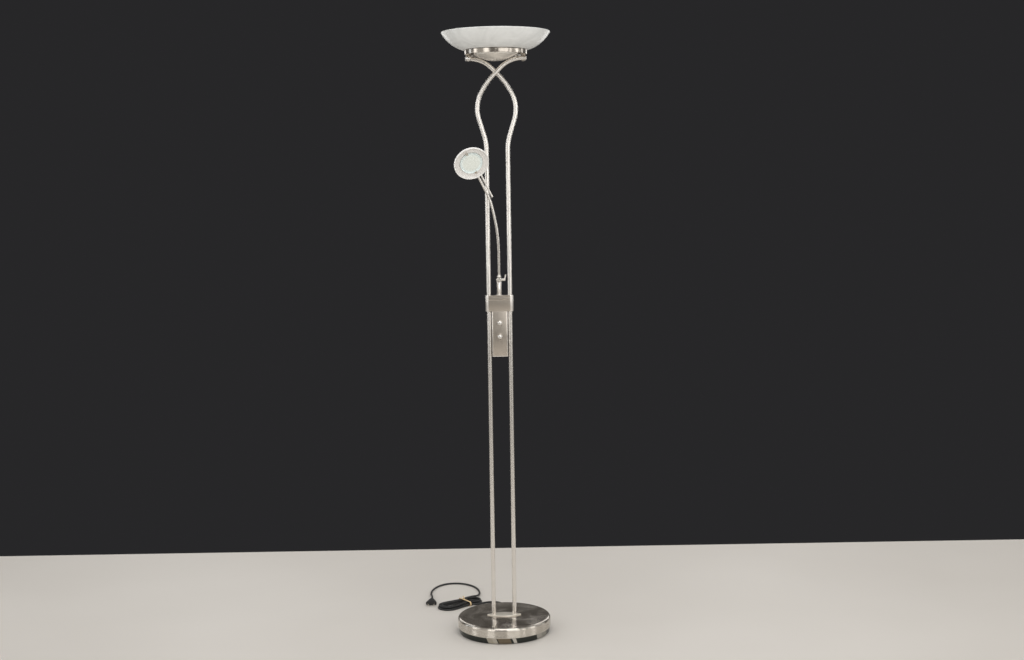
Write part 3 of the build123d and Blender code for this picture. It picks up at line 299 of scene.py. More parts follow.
def skin(work, rings, endless=False):
    """Join rings of corners with faces, and close the ends, or join the last ring to the first."""
    count = len(rings[0])
    for ring, after in zip(rings, rings[1:] + (rings[:1] if endless else [])):
        for k in range(count):
            work.faces.new((ring[k], after[k], after[(k + 1) % count], ring[(k + 1) % count]))
    if not endless:
        work.faces.new(rings[0])
        work.faces.new(rings[-1])


def turn_into(work, outline, centre, across, along, steps):
    """Add a closed turned solid to a bmesh. The outline is (radius, height) pairs in metres."""
    axis = Vector(along).normalized()
    first = (Vector(across) - axis * Vector(across).dot(axis)).normalized()
    second = axis.cross(first)
    bearings = [2 * pi * k / steps for k in range(steps)]
    rings = []
    for radius, height in outline:
        foot = Vector(centre) + axis * height
        if radius < 1e-7:
            rings.append([work.verts.new(foot)])
        else:
            rings.append([work.verts.new(foot + (first * cos(bearing) + second * sin(bearing)) * radius)
                          for bearing in bearings])
    for ring, after in zip(rings, rings[1:] + rings[:1]):
        if len(ring) == 1 and len(after) == 1:
            continue
        for k in range(steps):
            following = (k + 1) % steps
            if len(ring) == 1:
                work.faces.new((ring[0], after[k], after[following]))
            elif len(after) == 1:
                work.faces.new((ring[k], after[0], ring[following]))
            else:
                work.faces.new((ring[k], after[k], after[following], ring[following]))


def turned(name, outline, paint, centre=(0, 0, 0), across=(1, 0, 0), along=(0, 0, 1), steps=160, crease=32):
    """A turned piece from its closed outline."""
    work = bmesh.new()
    turn_into(work, outline, centre, across, along, steps)
    return finished(name, work, paint, crease)


def eased(corners, pieces=5):
    """A closed outline from corners (x, y, radius), each rounded off by its radius."""
    outline = []
    for number, (x, y, radius) in enumerate(corners):
        if radius <= 0:
            outline.append((x, y))
            continue
        here = Vector((x, y))
        back = (Vector(corners[number - 1][:2]) - here).normalized()
        onward = (Vector(corners[(number + 1) % len(corners)][:2]) - here).normalized()
        half = acos(max(-1, min(1, back.dot(onward)))) / 2
        middle = here + (back + onward).normalized() * radius / sin(half)
        start = here + back * radius / tan(half) - middle
        end = here + onward * radius / tan(half) - middle
        first = atan2(start.y, start.x)
        sweep = (atan2(end.y, end.x) - first + pi) % (2 * pi) - pi
        outline += [(middle.x + radius * cos(first + sweep * k / pieces),
                     middle.y + radius * sin(first + sweep * k / pieces)) for k in range(pieces + 1)]
    return outline


def arc_through(first, middle, last, pieces):
    """Points of the circle's arc from first through middle to last."""
    (ax, ay), (bx, by), (cx, cy) = first, middle, last
    a, b, c = ax**2 + ay**2, bx**2 + by**2, cx**2 + cy**2
    twice_area = 2 * (ax * (by - cy) + bx * (cy - ay) + cx * (ay - by))
    ux = (a * (by - cy) + b * (cy - ay) + c * (ay - by)) / twice_area
    uy = (a * (cx - bx) + b * (ax - cx) + c * (bx - ax)) / twice_area
    radius = hypot(ax - ux, ay - uy)
    start = atan2(ay - uy, ax - ux)
    via = (atan2(by - uy, bx - ux) - start) % (2 * pi)
    sweep = (atan2(cy - uy, cx - ux) - start) % (2 * pi)
    if via > sweep:
        sweep -= 2 * pi
    return [(ux + radius * cos(start + sweep * k / pieces), uy + radius * sin(start + sweep * k / pieces))
            for k in range(pieces + 1)]


boot_middle = (0, 0.1398, 0.009)
boot_outline = [(0, -0.0058), (0.0054, -0.0058), (0.0054, -0.0040), (0.0049, -0.0040), (0.0049, 0.0),
                (0.00675, 0.0), (0.00675, 0.0012), (0.0061, 0.0022)]
for number in range(6):
    slot_place = 0.0042 + 0.0031 * number
    slot_radius = 0.0060 - 0.00034 * number
    boot_outline += [(slot_radius, slot_place - 0.0007), (slot_radius - 0.0008, slot_place - 0.0004),
                     (slot_radius - 0.0008, slot_place + 0.0004), (slot_radius - 0.0001, slot_place + 0.0007)]
boot_outline += [(0.0038, 0.0235), (0.0034, 0.0240), (0, 0.0240)]
lead_boot = turned("lead_boot", boot_outline, rubber, centre=boot_middle, along=(0, 1, 0), steps=40)
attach(lead_boot, "stand")
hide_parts("cord_gland")

# The plug is a flat moulded two-pin body with finger ribs on its narrow sides and a tapered tail.
plug_middle = Vector((-0.236, 0.312, 0.007))
plug_sides = 48
plug_work = bmesh.new()
plug_rings = []
# run from the middle, half width, half thickness
for plug_run, plug_half, plug_rise in (
        (-0.0200, 0.0036, 0.0036), (-0.0170, 0.0040, 0.0040), (-0.0080, 0.0048, 0.0048),
        (0.0, 0.0072, 0.0060), (0.0060, 0.0092, 0.0063), (0.0140, 0.0122, 0.0066),
        (0.0155, 0.0116, 0.0066), (0.0180, 0.0130, 0.0067), (0.0195, 0.0124, 0.0067),
        (0.0220, 0.0142, 0.0068), (0.0235, 0.0136, 0.0068), (0.0260, 0.0154, 0.0069),
        (0.0340, 0.0173, 0.0070), (0.0372, 0.0172, 0.0069), (0.0380, 0.0164, 0.0062)):
    roundness = 2 / (2.0 if plug_run < 0 else 3.2)
    ring = []
    for k in range(plug_sides):
        way_x, way_z = cos(2 * pi * k / plug_sides), sin(2 * pi * k / plug_sides)
        reach_x = abs(way_x) ** roundness * plug_half * (1 if way_x >= 0 else -1)
        reach_z = abs(way_z) ** roundness * plug_rise * (1 if way_z >= 0 else -1)
        ring.append(plug_work.verts.new(plug_middle + Vector((reach_x, -plug_run, reach_z))))
    plug_rings.append(ring)
skin(plug_work, plug_rings)
lead_plug = finished("lead_plug", plug_work, rubber, crease=40)
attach(lead_plug, "stand")
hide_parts("plug_body")

plated_brass = speckled("plated_brass", (420.0, 3.0), (0.86, 0.80, 0.66), (0.80, 0.78, 0.74),
                        rough=(0.25, 0.12), Metallic=1.0)
pin_outline = [(0, 0), (0.0020, 0), (0.0020, 0.0165), (0.0018, 0.0179), (0.0012, 0.0187), (0, 0.0190)]
pins_work = bmesh.new()
for pin_out in (-0.0093, 0.0093):
    turn_into(pins_work, pin_outline, plug_middle + Vector((pin_out, -0.038, 0)), (1, 0, 0), (0, -1, 0), 32)
lead_pins = finished("lead_pins", pins_work, plated_brass)
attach(lead_pins, "stand")
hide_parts("plug_pins")

# The hank's tie is a strip of cream paper over a thin wire, wound once round and twisted.
tie_paper = speckled("tie_paper", (700.0, 5.0), (0.60, 0.42, 0.22), (0.86, 0.66, 0.40),
                     relief=(700.0, 5.0, 0.4, 0.0003), Roughness=0.8)
tie_foot = hank_middle + hank_along * hank_waist
tie_span = hank_outer - hank_pinch + cord_width / 2 + 0.0028
tie_low = 0.0013
tie_top = cord_width + hank_layer + hank_lift + 0.0004
tie_corner = 0.0052
tie_work = bmesh.new()
tie_loop = eased([(-tie_span, tie_low, tie_corner), (tie_span, tie_low, tie_corner),
                  (tie_span, tie_top, tie_corner), (-tie_span, tie_top, tie_corner)], pieces=8)
tie_strip = []
for number, (side_place, rise) in enumerate(tie_loop):
    drift = hank_along * 0.0012 * sin(2 * pi * number / len(tie_loop) + 0.6)
    spot = tie_foot + hank_across * side_place + Vector((0, 0, rise)) + drift
    outward = Vector((side_place * 0.3, rise - tie_top / 2)).normalized()
    lift = (hank_across * outward.x + Vector((0, 0, outward.y))) * 0.0009
    lift.z = max(lift.z, -0.0009)
    tie_strip.append([tie_work.verts.new(spot + hank_along * run + lift * height) for run, height in (
        (0.0026, 0), (0.0026, 1), (0.0005, 1.15), (-0.0005, 1.15), (-0.0026, 1), (-0.0026, 0))])
skin(tie_work, tie_strip, endless=True)
# two ends twisted round each other, leaning over the hank
for tail in (0, 1):
    tail_rings = []
    for k in range(22):
        run = k / 21
        spin = tail * pi + run * 2.2 * pi
        spread = 0.0010 + max(run - 0.75, 0) * 0.010
        spot = (tie_foot + hank_across * (0.006 + 0.006 * run)
                + Vector((0, 0, tie_top + 0.0008 + 0.0085 * sin(run * pi * 0.62)))
                + (hank_along * cos(spin) + hank_across * sin(spin)) * spread)
        flat = hank_along * cos(spin * 0.5) + hank_across * sin(spin * 0.5)
        thin = Vector((0, 0, 1)).cross(flat).normalized()
        tail_rings.append([tie_work.verts.new(spot + flat * a + thin * b) for a, b in (
            (0.0014, 0.0003), (-0.0014, 0.0003), (-0.0014, -0.0003), (0.0014, -0.0003))])
    skin(tie_work, tail_rings)
paper_tie = finished("paper_tie", tie_work, tie_paper, crease=50)
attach(paper_tie, "stand")
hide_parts("twist_tie")

# ------------------------------------------------------------------ base
# Four felt pads under a pressed tray with a glossy dark rim, a cast weight on the tray, and a
# polished nickel cover held down by nuts on two hollow studs that also carry the poles.


def new_group(name, family, inputs, outputs):
    """An empty node group with labelled sockets; returns it, what goes in and what comes out."""
    group = bpy.data.node_groups.new(name, family + "NodeTree")
    for way, sockets in (("INPUT", inputs), ("OUTPUT", outputs)):
        for label, kind in sockets.items():
            group.interface.new_socket(label, in_out=way, socket_type="NodeSocket" + kind)
    return group, group.nodes.new("NodeGroupInput").outputs, group.nodes.new("NodeGroupOutput").inputs


def mixed(factor, first, second):
    """One colour going over into another by a factor."""
    return add_node(factor.id_data, "ShaderNodeMix", data_type="RGBA", Factor=factor, A=first,
                    B=second).outputs["Result"]


def span_of(value, low, high):
    """How far a value lies from low to high, from 0 to 1."""
    return add_node(value.id_data, "ShaderNodeMapRange", Value=value, From_Min=low,
                    From_Max=high).outputs["Result"]


# Fine lines of a satin finish, drawn out along Z, or round the piece's own Z axis when spun.
hairline, hair_in, hair_out = new_group(
    "hairline", "Shader",
    {"Vector": "Vector", "Lines per Metre": "Float", "Stretch": "Float", "Spun": "Float"},
    {"Lines": "Float", "Cloud": "Float"})
hair_lines = hair_in["Lines per Metre"]
hair_x, hair_y, hair_z = add_node(hairline, "ShaderNodeSeparateXYZ", hair_in["Vector"]).outputs
hair_squares = maths("MULTIPLY", hair_x, hair_x), maths("MULTIPLY", hair_y, hair_y)
hair_radius = maths("SQRT", maths("ADD", *hair_squares))
hair_drawn = maths("MULTIPLY", hair_z, maths("DIVIDE", hair_lines, hair_in["Stretch"]))
hair_straight = add_node(hairline, "ShaderNodeCombineXYZ", maths("MULTIPLY", hair_x, hair_lines),
                         maths("MULTIPLY", hair_y, hair_lines), hair_drawn).outputs[0]
hair_round = add_node(hairline, "ShaderNodeCombineXYZ", maths("MULTIPLY", hair_radius, hair_lines),
                      maths("MULTIPLY", hair_z, hair_lines),
                      maths("MULTIPLY", maths("ARCTAN2", hair_y, hair_x), 3.0)).outputs[0]
hair_way = add_node(hairline, "ShaderNodeMix", data_type="VECTOR", Factor=hair_in["Spun"], A=hair_straight,
                    B=hair_round).outputs["Result"]
feed(noise(hair_way, 1.0, 3.0, Roughness=0.6), hair_out["Lines"])
feed(noise(hair_in["Vector"], 22.0, 3.0), hair_out["Cloud"])

# Dull hand and cloth marks on polished metal: broad smears with finer swirls in them.
smears, smear_in, smear_out = new_group(
    "smears", "Shader", {"Vector": "Vector", "Scale": "Float", "Amount": "Float"}, {"Mask": "Float"})
smear_broad = noise(smear_in["Vector"], smear_in["Scale"], 4.0, Distortion=1.6)
smear_fine = noise(smear_in["Vector"], maths("MULTIPLY", smear_in["Scale"], 5.0), 6.0, Distortion=2.5)
smear_mask = maths("MULTIPLY", span_of(smear_broad, 0.42, 0.68), maths("MULTIPLY_ADD", smear_fine, 1.2, 0.2))
feed(maths("MULTIPLY", smear_mask, smear_in["Amount"]), smear_out["Mask"])


def metal(name, light, dark, roughness, spread, lines, stretch=1.0, spun=0.0, relief=0.15, marks=0.3,
          mark_scale=16.0):
    """A nickel finish: light and dark tones, roughness and its spread, grain, and hand marks."""
    paint, inputs, place = principled(name, Metallic=1.0)
    grain = add_node(place.id_data, "ShaderNodeGroup", node_tree=hairline, Vector=place,
                     Lines_per_Metre=lines, Stretch=stretch, Spun=spun).outputs
    hands = add_node(place.id_data, "ShaderNodeGroup", node_tree=smears, Vector=place, Scale=mark_scale,
                     Amount=marks).outputs["Mask"]
    shade = maths("MULTIPLY_ADD", grain["Lines"], 0.5, maths("MULTIPLY", grain["Cloud"], 0.5))
    feed(mixed(maths("MAXIMUM", shade, hands), light, dark), inputs["Base Color"])
    rough = maths("MULTIPLY_ADD", grain["Lines"], spread, roughness - spread / 2)
    feed(maths("MULTIPLY_ADD", hands, 0.30, rough), inputs["Roughness"])
    feed(bump(grain["Lines"], relief, 0.00006), inputs["Normal"])
    return paint


def shader_of(paint):
    """A material's node tree, its shader's inputs and the place on the piece."""
    tree = paint.node_tree
    return tree, tree.nodes["Principled BSDF"].inputs, add_node(tree, "ShaderNodeTexCoord").outputs["Object"]


def fed_by(target):
    """The socket that feeds an input."""
    return target.links[0].from_socket


def dress(paint, *names):
    """Give CAD nodes that keep their own shape a material."""
    for name in names:
        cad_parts[name].data.materials.clear()
        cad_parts[name].data.materials.append(paint)


felt = speckled("grey_felt", (900.0, 5.0), (0.010, 0.010, 0.010), (0.060, 0.058, 0.056),
                relief=(900.0, 5.0, 0.8, 0.0005), Roughness=0.95)
dress(felt, "base_pads", "bowl_gasket")
iron = speckled("cast_iron_paint", (350.0, 6.0), (0.012, 0.012, 0.013), (0.045, 0.044, 0.044),
                relief=(350.0, 6.0, 0.6, 0.0006), Roughness=0.7, Metallic=0.2)
dress(iron, "base_weight")
zinc = metal("zinc_plate", (0.66, 0.67, 0.68), (0.50, 0.51, 0.53), 0.34, 0.16, 900.0, marks=0.4)
dress(zinc, "base_spacers", "pole_studs", "stud_nuts", "pole_couplers", "lower_shaft", "upper_shaft",
      "pan_screws")

# The tray: a leaning rim of glossy dark chrome. Its pale and brown patches, most of them near the front, are
# painted reflections.
dark_chrome, tray_inputs, tray_place = principled("dark_chrome", Metallic=1.0)
tray_x, tray_y, tray_z = add_node(tray_place.id_data, "ShaderNodeSeparateXYZ", tray_place).outputs
tray_bearing = maths("ARCTAN2", tray_x, maths("MULTIPLY", tray_y, -1.0))
tray_grit = noise(tray_place, 260.0, 5.0)
tray_ragged = maths("MULTIPLY_ADD", tray_grit, 0.012, maths("MULTIPLY_ADD", tray_z, 3.0, tray_bearing))
tray_dark = (0.050, 0.054, 0.050)
# bearings in degrees where each tone starts; every tone but the dark one is a painted reflection
tray_dark_and_painted_reflections = [
    (-180, tray_dark), (-118, (0.22, 0.20, 0.17)), (-104, tray_dark), (-20, (0.44, 0.41, 0.35)),
    (-14, (0.52, 0.49, 0.43)), (-8, tray_dark), (-7, (0.20, 0.165, 0.12)), (9, tray_dark),
    (12, (0.60, 0.58, 0.54)), (16, tray_dark), (46, (0.44, 0.43, 0.40)), (56, (0.34, 0.33, 0.30)),
    (67, tray_dark), (128, (0.20, 0.19, 0.16)), (140, tray_dark),
]
feed(ramp(maths("MULTIPLY_ADD", tray_ragged, 1 / (2 * pi), 0.5),
          *[((bearing + 180) / 360, tone) for bearing, tone in tray_dark_and_painted_reflections], interpolation="CONSTANT"),
     tray_inputs["Base Color"])
feed(maths("MULTIPLY_ADD", tray_grit, 0.25, 0.05), tray_inputs["Roughness"])
tray_piece = turned("tray_rim", eased([
    (0, 0.0015, 0), (0.1374, 0.0015, 0.0012), (0.1396, 0.0180, 0.0004), (0.1380, 0.0180, 0.0004),
    (0.1358, 0.0035, 0.0008), (0, 0.0035, 0)]), dark_chrome, steps=256)
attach(tray_piece, "stand")
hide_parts("base_plinth")


# The cover: a spun shell with a wide rounded shoulder and a rolled lower edge. Its top is polished
# flat and clouded by wear. Its band is brighter, and the turning lines there tip the surface up and
# down, which draws the highlights out into upright streaks.
def spun_grain(paint, amount):
    """Stretch a spun metal's highlights across its turning lines."""
    tree, inputs, place = shader_of(paint)
    inputs["Anisotropic"].default_value = amount
    inputs["Anisotropic Rotation"].default_value = 0.25
    feed(add_node(tree, "ShaderNodeTangent", direction_type="RADIAL", axis="Z").outputs[0], inputs["Tangent"])
    return tree, inputs, place


cover_polish = metal("cover_polish", (0.73, 0.69, 0.63), (0.57, 0.53, 0.475), 0.20, 0.06, 1800.0, spun=1.0,
                     relief=0.02, marks=0.12, mark_scale=11.0)
cover_tree, cover_inputs, cover_place = spun_grain(cover_polish, 0.95)
cover_height = add_node(cover_tree, "ShaderNodeSeparateXYZ", cover_place).outputs[2]
cover_flat = span_of(cover_height, 0.0474, 0.0485)
cover_wear = add_node(cover_tree, "ShaderNodeGroup", node_tree=smears, Vector=cover_place, Scale=10.0,
                      Amount=1.0).outputs["Mask"]
cover_clouds = ramp(cover_wear, (0.02, (0.46, 0.42, 0.37)), (0.75, (0.98, 0.93, 0.86)))
feed(mixed(cover_flat, fed_by(cover_inputs["Base Color"]), cover_clouds), cover_inputs["Base Color"])
cover_band = maths("SUBTRACT", 1.0, cover_flat)
cover_lines = add_node(cover_tree, "ShaderNodeTexNoise", noise_dimensions="1D",
                       W=maths("MULTIPLY", cover_height, 5200.0), Scale=1.0, Detail=1.0).outputs["Fac"]
cover_tip = add_node(cover_tree, "ShaderNodeCombineXYZ", Z=maths(
    "MULTIPLY", cover_band, maths("MULTIPLY_ADD", cover_lines, 2.2, -1.1))).outputs[0]
cover_tipped = add_node(cover_tree, "ShaderNodeVectorMath", fed_by(cover_inputs["Normal"]),
                        cover_tip).outputs[0]
feed(add_node(cover_tree, "ShaderNodeVectorMath", cover_tipped, operation="NORMALIZE").outputs[0],
     cover_inputs["Normal"])
feed(maths("MULTIPLY_ADD", cover_band, -0.08, fed_by(cover_inputs["Roughness"])), cover_inputs["Roughness"])
cover_radius, cover_top = 0.1413, 0.0486
shoulder, shoulder_inside = 0.0090, 0.0075
shoulder_x, shoulder_z = cover_radius - shoulder, cover_top - shoulder
cover_outline = [(0, cover_top)]
cover_outline += [(shoulder_x + shoulder * sin(k * pi / 32), shoulder_z + shoulder * cos(k * pi / 32))
                  for k in range(17)]
cover_outline += [(cover_radius, 0.0300), (cover_radius, 0.0212), (0.14145, 0.0206), (cover_radius, 0.0186),
                  (0.1409, 0.0181), (0.1400, 0.0180), (0.1398, 0.0183), (0.1398, shoulder_z)]
cover_outline += [(shoulder_x + shoulder_inside * cos(k * pi / 16),
                   shoulder_z + shoulder_inside * sin(k * pi / 16)) for k in range(1, 9)]
cover_outline += [(0, shoulder_z + shoulder_inside)]
cover_piece = turned("polished_cover", cover_outline, cover_polish, steps=360, crease=50)
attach(cover_piece, "stand")
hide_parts("base_cover")

# The foot plate: a pointed oval stamped plate with a softened upper edge.
plate_satin = metal("plate_satin", (0.95, 0.90, 0.82), (0.82, 0.775, 0.70), 0.52, 0.16, 2400.0, relief=0.1,
                    marks=0.35, mark_scale=40.0)
plate_half, plate_width = 0.051, 0.020
plate_arc_radius = (plate_half**2 + plate_width**2) / (2 * plate_width)
plate_angle = 2 * atan2(plate_width, plate_half)
plate_work = bmesh.new()
plate_rings = []
for inset, rise in ((0, 0), (0, 0.0020), (0.0002, 0.0025), (0.0006, 0.0029), (0.0011, 0.0030)):
    ring = []
    for side in (-1, 1):
        for k in range(40):
            angle = -plate_angle + 2 * plate_angle * k / 40
            ring.append(plate_work.verts.new((
                -side * (plate_arc_radius - inset) * sin(angle),
                side * ((plate_arc_radius - inset) * cos(angle) - (plate_arc_radius - plate_width)),
                cover_top + rise)))
    plate_rings.append(ring)
skin(plate_work, plate_rings)
plate_piece = finished("oval_foot_plate", plate_work, plate_satin, crease=40)
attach(plate_piece, "stand")
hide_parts("foot_plate")

# ------------------------------------------------------------------ poles
# Four lengths of half-inch tube in satin nickel. The lower two stand on the foot plate, and the
# upper two bow outwards, cross, and end beside the ring. Hidden couplers join them in the box.
tube_maker, tube_in, tube_out = new_group(
    "drawn_tube", "Geometry", {"Path": "Geometry", "Radius": "Float", "Sides": "Int", "Finish": "Material"},
    {"Tube": "Geometry"})
tube_round = add_node(tube_maker, "GeometryNodeCurvePrimitiveCircle", Radius=tube_in["Radius"],
                      Resolution=tube_in["Sides"]).outputs["Curve"]
tube_swept = add_node(tube_maker, "GeometryNodeCurveToMesh", Curve=tube_in["Path"], Profile_Curve=tube_round,
                      Fill_Caps=True).outputs["Mesh"]
tube_real = add_node(tube_maker, "GeometryNodeRealizeInstances", Geometry=tube_swept).outputs["Geometry"]
feed(add_node(tube_maker, "GeometryNodeSetMaterial", Geometry=tube_real,
              Material=tube_in["Finish"]).outputs["Geometry"], tube_out["Tube"])


def merged(name, mesh, paint, crease, reach):
    """A smooth piece in the shape of a mesh, its corners merged where they are within reach."""
    work = bmesh.new()
    work.from_mesh(mesh)
    bmesh.ops.remove_doubles(work, verts=work.verts, dist=reach)
    return finished(name, work, paint, crease)


def plain_from(name, source, tree, crease=40, **values):
    """Run a geometry tree with named values on an object and return the result as a plain mesh piece."""
    modifier = source.modifiers.new(tree.name, "NODES")
    modifier.node_group = tree
    for item in tree.interface.items_tree:
        if item.name.replace(" ", "_") in values:
            modifier[item.identifier] = values[item.name.replace(" ", "_")]
    view = bpy.context.evaluated_depsgraph_get()
    mesh = bpy.data.meshes.new_from_object(source.evaluated_get(view), depsgraph=view)
    source.modifiers.remove(modifier)
    bpy.data.objects.remove(source)
    piece = merged(name, mesh, values["Finish"], crease, 1e-6)
    bpy.data.meshes.remove(mesh)
    return piece


def bent(corners, radii, step=0.004):
    """Centre line of a bent tube: straight runs, and an arc of its own radius at each corner."""
    places = [Vector(corner) for corner in corners]
    line = [places[0]]
    for before, here, after, radius in zip(places, places[1:], places[2:], radii):
        arriving = (here - before).normalized()
        leaving = (after - here).normalized()
        turn = arriving.angle(leaving)
        middle = here + (leaving - arriving).normalized() * (radius / cos(turn / 2))
        start = here - arriving * radius * tan(turn / 2) - middle
        pieces = max(3, round(radius * turn / step))
        line += [middle + start * cos(turn * k / pieces) + arriving * radius * sin(turn * k / pieces)
                 for k in range(pieces + 1)]
    return line + [places[-1]]


def tube(name, line, radius, paint, sides=48):
    """A round tube along a centre line, made by the drawn_tube tree."""
    path = curve_through(name + "_path", "POLY", line)[0]
    return plain_from(name, path, tube_maker, Radius=radius, Sides=sides, Finish=paint)


pole_satin = metal("pole_satin", (0.85, 0.82, 0.78), (0.78, 0.75, 0.71), 0.25, 0.03, 1400.0, stretch=120.0,
                   relief=0.01, marks=0.08, mark_scale=9.0)
pole_out = 0.0315
pole_radius = 0.00635
pole_foot, pole_half_way, pole_joint = 0.0516, 0.45, 1.0026
for side, pole_name in ((-1, "left"), (1, "right")):
    pole_line = [(side * pole_out, 0, height) for height in (pole_foot, pole_half_way, pole_joint)]
    lower_pole = tube("lower_pole_" + pole_name, pole_line, pole_radius, pole_satin)
    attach(lower_pole, "stand")
    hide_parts("pole_lower_" + pole_name)
end_x, end_y, end_z = -0.0885, 0.00835, 1.7235
bow_corners = [(pole_out, 0.0, pole_joint), (pole_out, 0.0, 1.4790), (0.06544, 0.0037575, 1.5900),
               (0.02394, end_y, 1.65906), (-0.0405, end_y, end_z), (end_x, end_y, end_z)]
bow_radii = [0.150, 0.102, 0.190, 0.092]
for side, pole_name in ((-1, "front"), (1, "back")):
    corners = [(side * x, side * y, z) for x, y, z in bow_corners]
    upper_pole = tube("upper_pole_" + pole_name, bent(corners, bow_radii), pole_radius, pole_satin)
    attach(upper_pole, "stand")
    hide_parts("pole_upper_" + pole_name)

# A domed plug closes each free end.
dome_outline = [(0, -0.003), (0.005, -0.003), (0.005, 0), (pole_radius, 0), (0.0063, 0.0005),
                (0.0056, 0.0009), (0.0040, 0.00112), (0.0020, 0.0012), (0, 0.0012)]
dome_work = bmesh.new()
for side in (-1, 1):
    turn_into(dome_work, dome_outline, (side * end_x, side * end_y, end_z), (0, 0, 1), (-side, 0, 0), 48)
end_plugs = finished("pole_end_plugs", dome_work, pole_satin)
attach(end_plugs, "stand")
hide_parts("pole_end_caps")

# ------------------------------------------------------------------ switch box
# Two satin half shells close on the poles from front and back. Four screws go in from behind.
# The rounded sleeves and the lower plate's edges carry a painted highlight: a paler colour than the flat
# front's.
box_satin = metal("box_satin", (0.64, 0.585, 0.52), (0.54, 0.49, 0.43), 0.30, 0.08, 2200.0, stretch=60.0,
                  relief=0.05, marks=0.15, mark_scale=24.0)
box_tree, box_inputs, box_place = shader_of(box_satin)
box_x, _, box_z = add_node(box_tree, "ShaderNodeSeparateXYZ", box_place).outputs
box_out = maths("ABSOLUTE", box_x)
# the sleeves' curves and the lower plate's side and bottom edges get a paler colour: a painted highlight
box_rim_highlight = maths("MAXIMUM", span_of(box_out, 0.0205, 0.0222), span_of(box_z, 0.8462, 0.8446))
box_edge_highlight = maths("MULTIPLY", maths("LESS_THAN", box_z, 0.9784), box_rim_highlight)
box_painted_highlight = maths("MAXIMUM", box_edge_highlight, span_of(box_out, 0.0312, 0.0330))
feed(mixed(box_painted_highlight, fed_by(box_inputs["Base Color"]), (0.92, 0.89, 0.85)), box_inputs["Base Color"])


def half_section(width, depth, corner, front, pieces=10):
    """Half of a rounded bar's cross section, open on the joint face at y = 0."""
    angles = [k * pi / 2 / pieces for k in range(1, pieces + 1)]
    points = [(width, 0.00004), (width, depth - corner)]
    points += [(width - corner + corner * cos(angle), depth - corner + corner * sin(angle))
               for angle in angles]
    points += [(-x, y) for x, y in reversed(points)]
    return [(x, -y if front else y) for x, y in points]


def shell_block(work, section, low, high, ease, grooves=()):
    """Add an upright block of one section with eased top and bottom edges and grooves round it."""
    levels = [(low, ease), (low + ease * 0.29, ease * 0.29), (low + ease, 0.0)]
    for groove in grooves:
        levels += [(groove - 0.0013, 0.0), (groove - 0.0002, 0.0011), (groove + 0.0002, 0.0011),
                   (groove + 0.0013, 0.0)]
    levels += [(high - ease, 0.0), (high - ease * 0.29, ease * 0.29), (high, ease)]
    outwards = []
    for number, (x, y) in enumerate(section):
        along = Vector(section[(number + 1) % len(section)]) - Vector(section[number - 1])
        outward = Vector((along.y, -along.x)).normalized()
        if abs(y) < 0.0001:
            outward = Vector((1 if x > 0 else -1, 0))
        outwards.append(-outward if outward.dot(Vector((x, y))) < 0 else outward)
    skin(work, [[work.verts.new((x - outward.x * inset, y - outward.y * inset, level))
                 for (x, y), outward in zip(section, outwards)] for level, inset in levels])


box_depth = 0.0105
for front, box_name in ((True, "front"), (False, "back")):
    box_work = bmesh.new()
    shell_block(box_work, half_section(0.0235, box_depth, 0.0042, front), 0.8430, 0.9800, 0.0018)
    shell_block(box_work, half_section(0.0420, box_depth, 0.01046, front, 16), 0.9786, 1.0266, 0.0011,
                (1.0138, 1.0226))
    box_piece = finished("switch_box_" + box_name, box_work, box_satin, crease=30)
    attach(box_piece, "stand")
    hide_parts("box_" + box_name)

# The screws: pan heads with a cross recess, several at once on the points of a small mesh.
screw_maker, screw_in, screw_out = new_group(
    "pan_head_screws", "Geometry", {"Points": "Geometry", "Head Radius": "Float", "Head Height": "Float",
                                    "Turned To": "Vector", "Finish": "Material"}, {"Screws": "Geometry"})
head_radius, head_height = screw_in["Head Radius"], screw_in["Head Height"]
screw_ball = add_node(screw_maker, "GeometryNodeMeshUVSphere", Segments=32, Rings=16,
                      Radius=head_radius).outputs["Mesh"]
screw_scale = add_node(screw_maker, "ShaderNodeCombineXYZ", 1.0, 1.0,
                       maths("DIVIDE", head_height, head_radius))
screw_head = add_node(screw_maker, "GeometryNodeTransform", Geometry=screw_ball, Scale=screw_scale.outputs[0])
screw_cut = add_node(screw_maker, "GeometryNodeMeshBoolean", operation="DIFFERENCE",
                     Mesh_1=screw_head.outputs["Geometry"])
bar_long, bar_thin = maths("MULTIPLY", head_radius, 1.15), maths("MULTIPLY", head_radius, 0.28)
bar_rise = add_node(screw_maker, "ShaderNodeCombineXYZ", Z=head_height).outputs[0]
for bar_x, bar_y in ((bar_thin, bar_long), (bar_long, bar_thin)):
    bar_size = add_node(screw_maker, "ShaderNodeCombineXYZ", bar_x, bar_y, head_height).outputs[0]
    bar = add_node(screw_maker, "GeometryNodeMeshCube", Size=bar_size).outputs["Mesh"]
    bar_up = add_node(screw_maker, "GeometryNodeTransform", Geometry=bar, Translation=bar_rise)
    feed(bar_up.outputs["Geometry"], screw_cut.inputs["Mesh 2"])
screw_turn = add_node(screw_maker, "FunctionNodeEulerToRotation", screw_in["Turned To"]).outputs[0]
screw_set = add_node(screw_maker, "GeometryNodeInstanceOnPoints", Points=screw_in["Points"],
                     Instance=screw_cut.outputs["Mesh"], Rotation=screw_turn).outputs["Instances"]
screw_real = add_node(screw_maker, "GeometryNodeRealizeInstances", Geometry=screw_set).outputs["Geometry"]
feed(add_node(screw_maker, "GeometryNodeSetMaterial", Geometry=screw_real,
              Material=screw_in["Finish"]).outputs["Geometry"], screw_out["Screws"])


def screws_at(name, places, radius, height, turned_to, paint):
    """Screw heads with their seats at the given places, facing where their turn points them."""
    spots = bpy.data.meshes.new(name + "_spots")
    spots.from_pydata(places, [], [])
    return plain_from(name, put(name + "_spots", spots), screw_maker, crease=25, Head_Radius=radius,
                      Head_Height=height, Turned_To=turned_to, Finish=paint)


